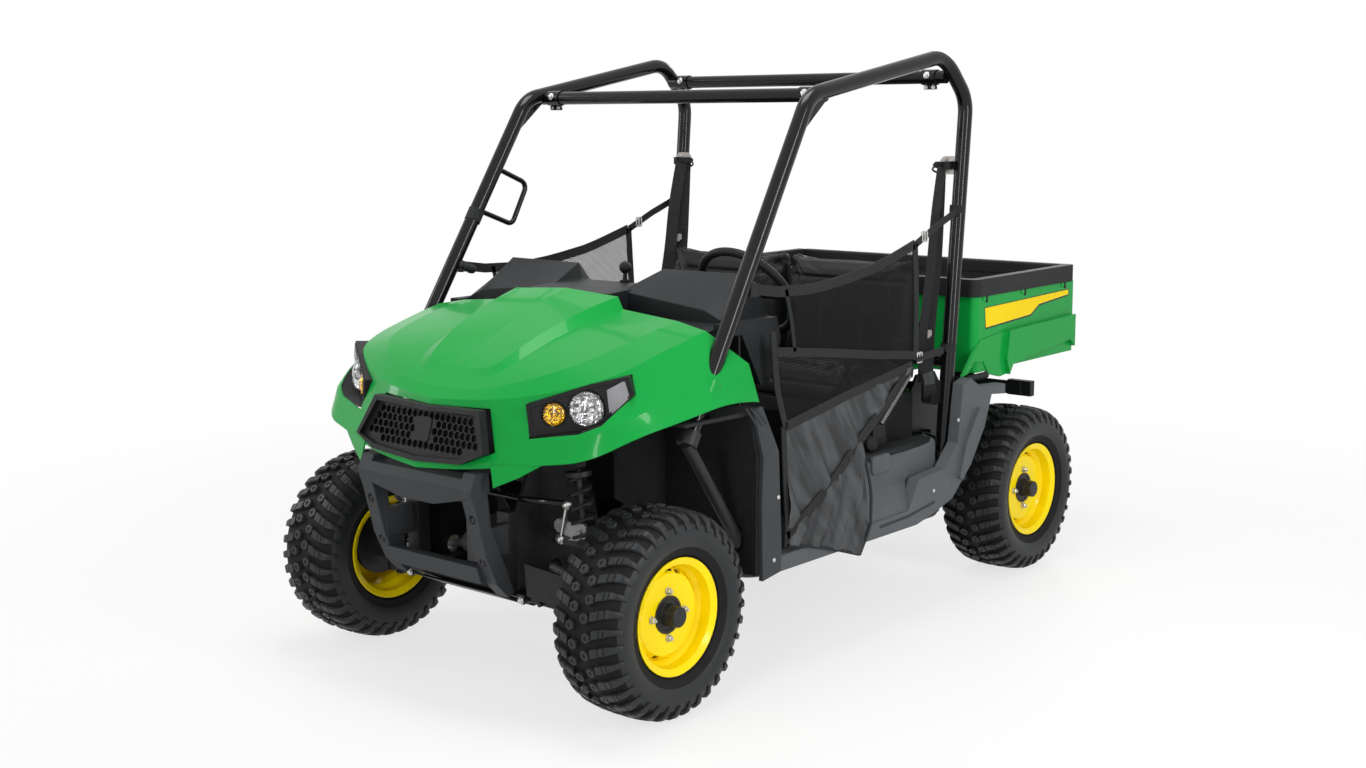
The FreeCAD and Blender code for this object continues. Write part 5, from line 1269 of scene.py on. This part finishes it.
WHEEL_CENTRE = (330, 792, 1118)
COLUMN_LEAN = math.radians(36)
BOSS = [(0, 40), (5, 41), (12, 37), (15, 30), (16, 12), (16, 0.3)]
DASH_Y = 612
GAUGE_X, GAUGE_Z, GAUGE_FACING = 330, 1098, (0, 1, 0.1)
GAUGE_RIM = [(0, 44), (9, 44), (12, 41), (12, 37), (3, 35), (3, 0.3)]
GAUGE_PIN = [(3, 6), (7, 5), (7.6, 0.3)]
MARK_CIRCLE = 29
SWITCHES = (-84, -48, 66, 102)
DASH_KNOB = [(0, 17), (4, 17), (5, 15.5), (9, 15), (10, 12)]


def steering_boss():
    boss = Shape()
    lean = Vector((0, math.cos(COLUMN_LEAN), math.sin(COLUMN_LEAN)))
    boss.lathe(BOSS, at(*WHEEL_CENTRE) + lean * 0.0102, lean, 40, caps=False)
    boss.done("steering_boss", INTERIOR, "interior_black", "steering_wheel", smooth=30)


def dash_gauge():
    gauge, marks = Shape(), Shape()
    middle = at(GAUGE_X, DASH_Y + 0.4, GAUGE_Z)
    gauge.lathe(GAUGE_RIM, middle, GAUGE_FACING, 48, caps=False)
    gauge.lathe(GAUGE_PIN, middle, GAUGE_FACING, 20, caps=False)
    for k in range(11):
        a = math.radians(-130 + 26 * k)
        mark = at(GAUGE_X + MARK_CIRCLE * math.sin(a), DASH_Y + 4, GAUGE_Z + MARK_CIRCLE * math.cos(a))
        marks.lathe([(0, 1.6), (1.2, 1.4)], mark, GAUGE_FACING, 8)
    gauge.done("dash_gauge", TUBE, "interior_black", smooth=35)
    marks.done("gauge_marks", ZINC, "rod_zinc", smooth=35)


def dash_switches():
    switches = Shape()
    low_y, high_y = DASH_Y + 3.4, DASH_Y + 9.4
    for x in SWITCHES:
        switches.board(at(x, DASH_Y + 1.6, 1090), (0, 1, 0), 26, 44, 4, 3)
        rocker = [at(x - 10, low_y, 1073), at(x + 10, low_y, 1073), at(x + 10, high_y, 1106),
                  at(x - 10, high_y, 1106)]
        switches.slab(rocker, (0, -0.006, 0.001))
    switches.lathe(DASH_KNOB, at(9, DASH_Y + 0.2, 1086), (0, 1, 0), 28)
    switches.done("dash_switches", RUBBER, "interior_black", smooth=30, bevel=0.6)


# Side panels and seat base

# Place along the skirt, height of its top edge and height of its crease.
SKIRT_STATIONS = ((930, 556, 470), (1010, 556, 468), (1120, 556, 464), (1236, 556, 460), (1330, 560, 458),
                  (1425, 572, 456))
LEDGE_SECTION = ((586, 588), (630, 582), (642, 570), (636, 560), (586, 570))
SILL_LINE = [(1010, 361), (1180, 366), (1338, 384)]
PILLAR_X, SILL_X = 708.2, 700.2
NET_ROD = ((649, 1254, 817), (664, 1130, 735), (670, 1058, 687))
CATCH_KNOB = [(0, 26), (8, 30), (16, 30), (22, 25), (34, 24), (38, 17), (40, 8)]
PANEL_FIXINGS = ((709, 440, 372), (709, 462, 560), (701, 1330, 420), (701, 1480, 640))
BASE_FIXINGS = ((585.5, 1072, 610), (585.5, 1202, 500))


def pillar_slots(side, name):
    slots = Shape()
    for k in range(3):
        y, z = 306 + 22 * k, 850 - 3 * k
        outline = [(y, z), (y + 8, z), (y + 62, z - 62 + 4 * k), (y + 54, z - 64 + 4 * k)]
        slots.slab([at(side * PILLAR_X, *p) for p in outline], (side * 0.0012, 0, 0))
    slots.done("pillar_slots_" + name, RUBBER, "bumper_grey")


def side_skirt(side, name):
    rows = []
    for y, top, crease in SKIRT_STATIONS:
        section = ((600, top + 16), (636, top + 8), (644, top - 2), (648, crease), (694, 376), (697, 364),
                   (660, 362), (630, crease), (600, top - 20))
        rows.append([at(side * x, y, z) for x, z in section])
    skirt = Shape()
    skirt.rings(rows)
    skirt.board(at(side * 644, 1090, 545), (side, 0, 0), 110, 62, 18, 12)
    skirt.done("side_skirt_" + name, SIDE_PANEL_PAINTED_LIGHT, "bumper_grey", smooth=24, bevel=4.0)
    ledge = Shape()
    ledge.rings([[at(side * x, y, z) for x, z in LEDGE_SECTION] for y in (940, 1200, 1420)])
    ledge.done("side_ledge_" + name, INTERIOR, "interior_black", smooth=24, bevel=3.0)


def sill_strip(side, name):
    strip = Shape()
    outline = SILL_LINE + [(y, z - 9) for y, z in SILL_LINE[::-1]]
    strip.slab([at(side * SILL_X, y, z) for y, z in outline], (side * 0.0012, 0, 0))
    strip.done("sill_strip_" + name, RUBBER, "bumper_grey")


def side_catch(side, name):
    rod_line("net_rod_" + name, mirrored(side, NET_ROD), 6.5, DARK_CHROME)
    catch = Shape()
    catch.lathe(CATCH_KNOB, at(side * 586, 1090, 606), (side, -0.25, 0.1), 32)
    catch.board(at(side * 596, 1145, 640), (side, 0, 0), 70, 50, 14, 10)
    catch.board(at(side * 592, 1125, 572), (side, 0, 0), 96, 30, 12, 8)
    catch.done("side_catch_" + name, INTERIOR, "interior_black", smooth=30, bevel=2.0)


def panel_fixings(side, name):
    fixings = Shape()
    for spot in mirrored(side, PANEL_FIXINGS):
        fixings.lathe([(0, 7), (1.6, 6.4), (2.6, 4)], spot, (side, 0, 0), 20)
    for spot in mirrored(side, BASE_FIXINGS):
        fixings.lathe([(0, 6.5), (2, 6), (3, 3.5)], spot, (side, 0, 0), 20)
    fixings.done("panel_fixings_" + name, ZINC, "rod_zinc", smooth=40)


# Camera, floor and lights

CAMERA_PLACE = (3685.1, -3406.2, 1716.0)
CAMERA_AZIMUTH, CAMERA_PITCH, CAMERA_ROLL = (math.radians(a) for a in (40.867, 9.461, -0.5865))
PHOTO_WIDTH = 1366
FOCAL_PIXELS = 1681.4
SENSOR_WIDTH = 36.0
FLOOR_HALF = 40
WORLD_LIGHT = 0.36
# Name, place, target, width, height and power.
LIGHTS = (
    ("overhead", (0.2, -0.6, 4.6), (0, -0.2, 0.6), 2.4, 1.6, 92.0),
    ("left_strip", (4.6, -0.6, 2.4), (0, 0.2, 0.9), 0.5, 3.4, 95.0),
    ("front_strip", (2.2, -5.4, 2.6), (0.2, 0, 0.8), 0.5, 3.2, 75.0),
    ("right_strip", (-4.6, -3.0, 2.6), (0, 0, 0.8), 0.6, 3.0, 60.0),
    ("rear", (-1.0, 5.6, 3.4), (0, 0, 0.9), 3.0, 1.2, 60.0),
)


def photo_camera():
    camera = bpy.data.objects.new("camera", bpy.data.cameras.new("camera"))
    bpy.context.scene.collection.objects.link(camera)
    right = Vector((math.cos(CAMERA_AZIMUTH), math.sin(CAMERA_AZIMUTH), 0))
    level = Vector((-math.sin(CAMERA_AZIMUTH), math.cos(CAMERA_AZIMUTH), 0))
    forward = level * math.cos(CAMERA_PITCH) - Vector((0, 0, math.sin(CAMERA_PITCH)))
    upward = right.cross(forward)
    rolled_right = right * math.cos(CAMERA_ROLL) + upward * math.sin(CAMERA_ROLL)
    rolled_up = upward * math.cos(CAMERA_ROLL) - right * math.sin(CAMERA_ROLL)
    turn = Matrix((rolled_right, rolled_up, -forward)).transposed().to_4x4()
    camera.matrix_world = Matrix.Translation(at(*CAMERA_PLACE)) @ turn
    camera.data.sensor_width = SENSOR_WIDTH
    camera.data.lens = FOCAL_PIXELS / PHOTO_WIDTH * SENSOR_WIDTH
    camera.data.clip_end = 200
    bpy.context.scene.camera = camera


def floor_plane():
    ground = Shape()
    ground.sheet([[(x, y, 0) for x in (-FLOOR_HALF, FLOOR_HALF)] for y in (-FLOOR_HALF, FLOOR_HALF)])
    ground.done("floor_plane", pale_floor(), body=None)


def soft_light(name, place, target, width, height, power):
    light = bpy.data.lights.new(name, "AREA")
    light.shape = "RECTANGLE"
    light.size, light.size_y = width, height
    light.energy = power
    made = bpy.data.objects.new(name, light)
    bpy.context.scene.collection.objects.link(made)
    made.location = place
    made.rotation_mode = "QUATERNION"
    made.rotation_quaternion = (Vector(target) - Vector(place)).to_track_quat("-Z", "Y")


def studio_world():
    """White where it is seen or mirrored, and plain dim light on the vehicle."""
    world = bpy.data.worlds.new("studio")
    bpy.context.scene.world = world
    world.use_nodes = True
    world.node_tree.nodes.clear()
    sky = Nodes(world.node_tree)
    lit = sky.node("ShaderNodeBackground", {}, (1, 1, 1), WORLD_LIGHT)
    white = sky.node("ShaderNodeBackground", {}, (1, 1, 1), 1.0)
    sky.node("ShaderNodeOutputWorld", {}, sky.node("ShaderNodeMixShader", {}, sky.seen(), lit, white))


# The whole vehicle and its studio


def both_sides(*parts):
    """Builds each part on the left and on the right."""
    for part in parts:
        for side, name in SIDES:
            part(side, name)


def dress_nodes():
    for node_names, finish in NODE_FINISHES:
        for node_name in node_names:
            mesh = NODES[node_name].data
            mesh.materials.clear()
            mesh.materials.append(finish)


def vehicle():
    for part in (tyre, hub):
        for wheel, (x, y) in WHEELS.items():
            part(wheel, x, y)
    both_sides(lamp_lights)
    skin = skin_of("front_body")
    for side, name in SIDES:
        lamp_lining(side, name, skin)
    grille_backing(skin)
    both_sides(side_net, net_straps)
    seats()
    both_sides(seat_belt, bed_side)
    tailgate_parts()
    both_sides(tail_lens)
    frame_fittings()
    both_sides(lamp_trim, bumper_bolts)
    stabiliser()
    arm_fittings()
    shock_collars()
    spring_carriers()
    engine_parts()
    steering_boss()
    dash_gauge()
    dash_switches()
    both_sides(pillar_slots, side_skirt, sill_strip, side_catch, panel_fixings)


def studio():
    photo_camera()
    floor_plane()
    for light in LIGHTS:
        soft_light(*light)
    studio_world()
    bpy.context.scene.view_settings.view_transform = "Standard"


dress_nodes()
vehicle()
studio()
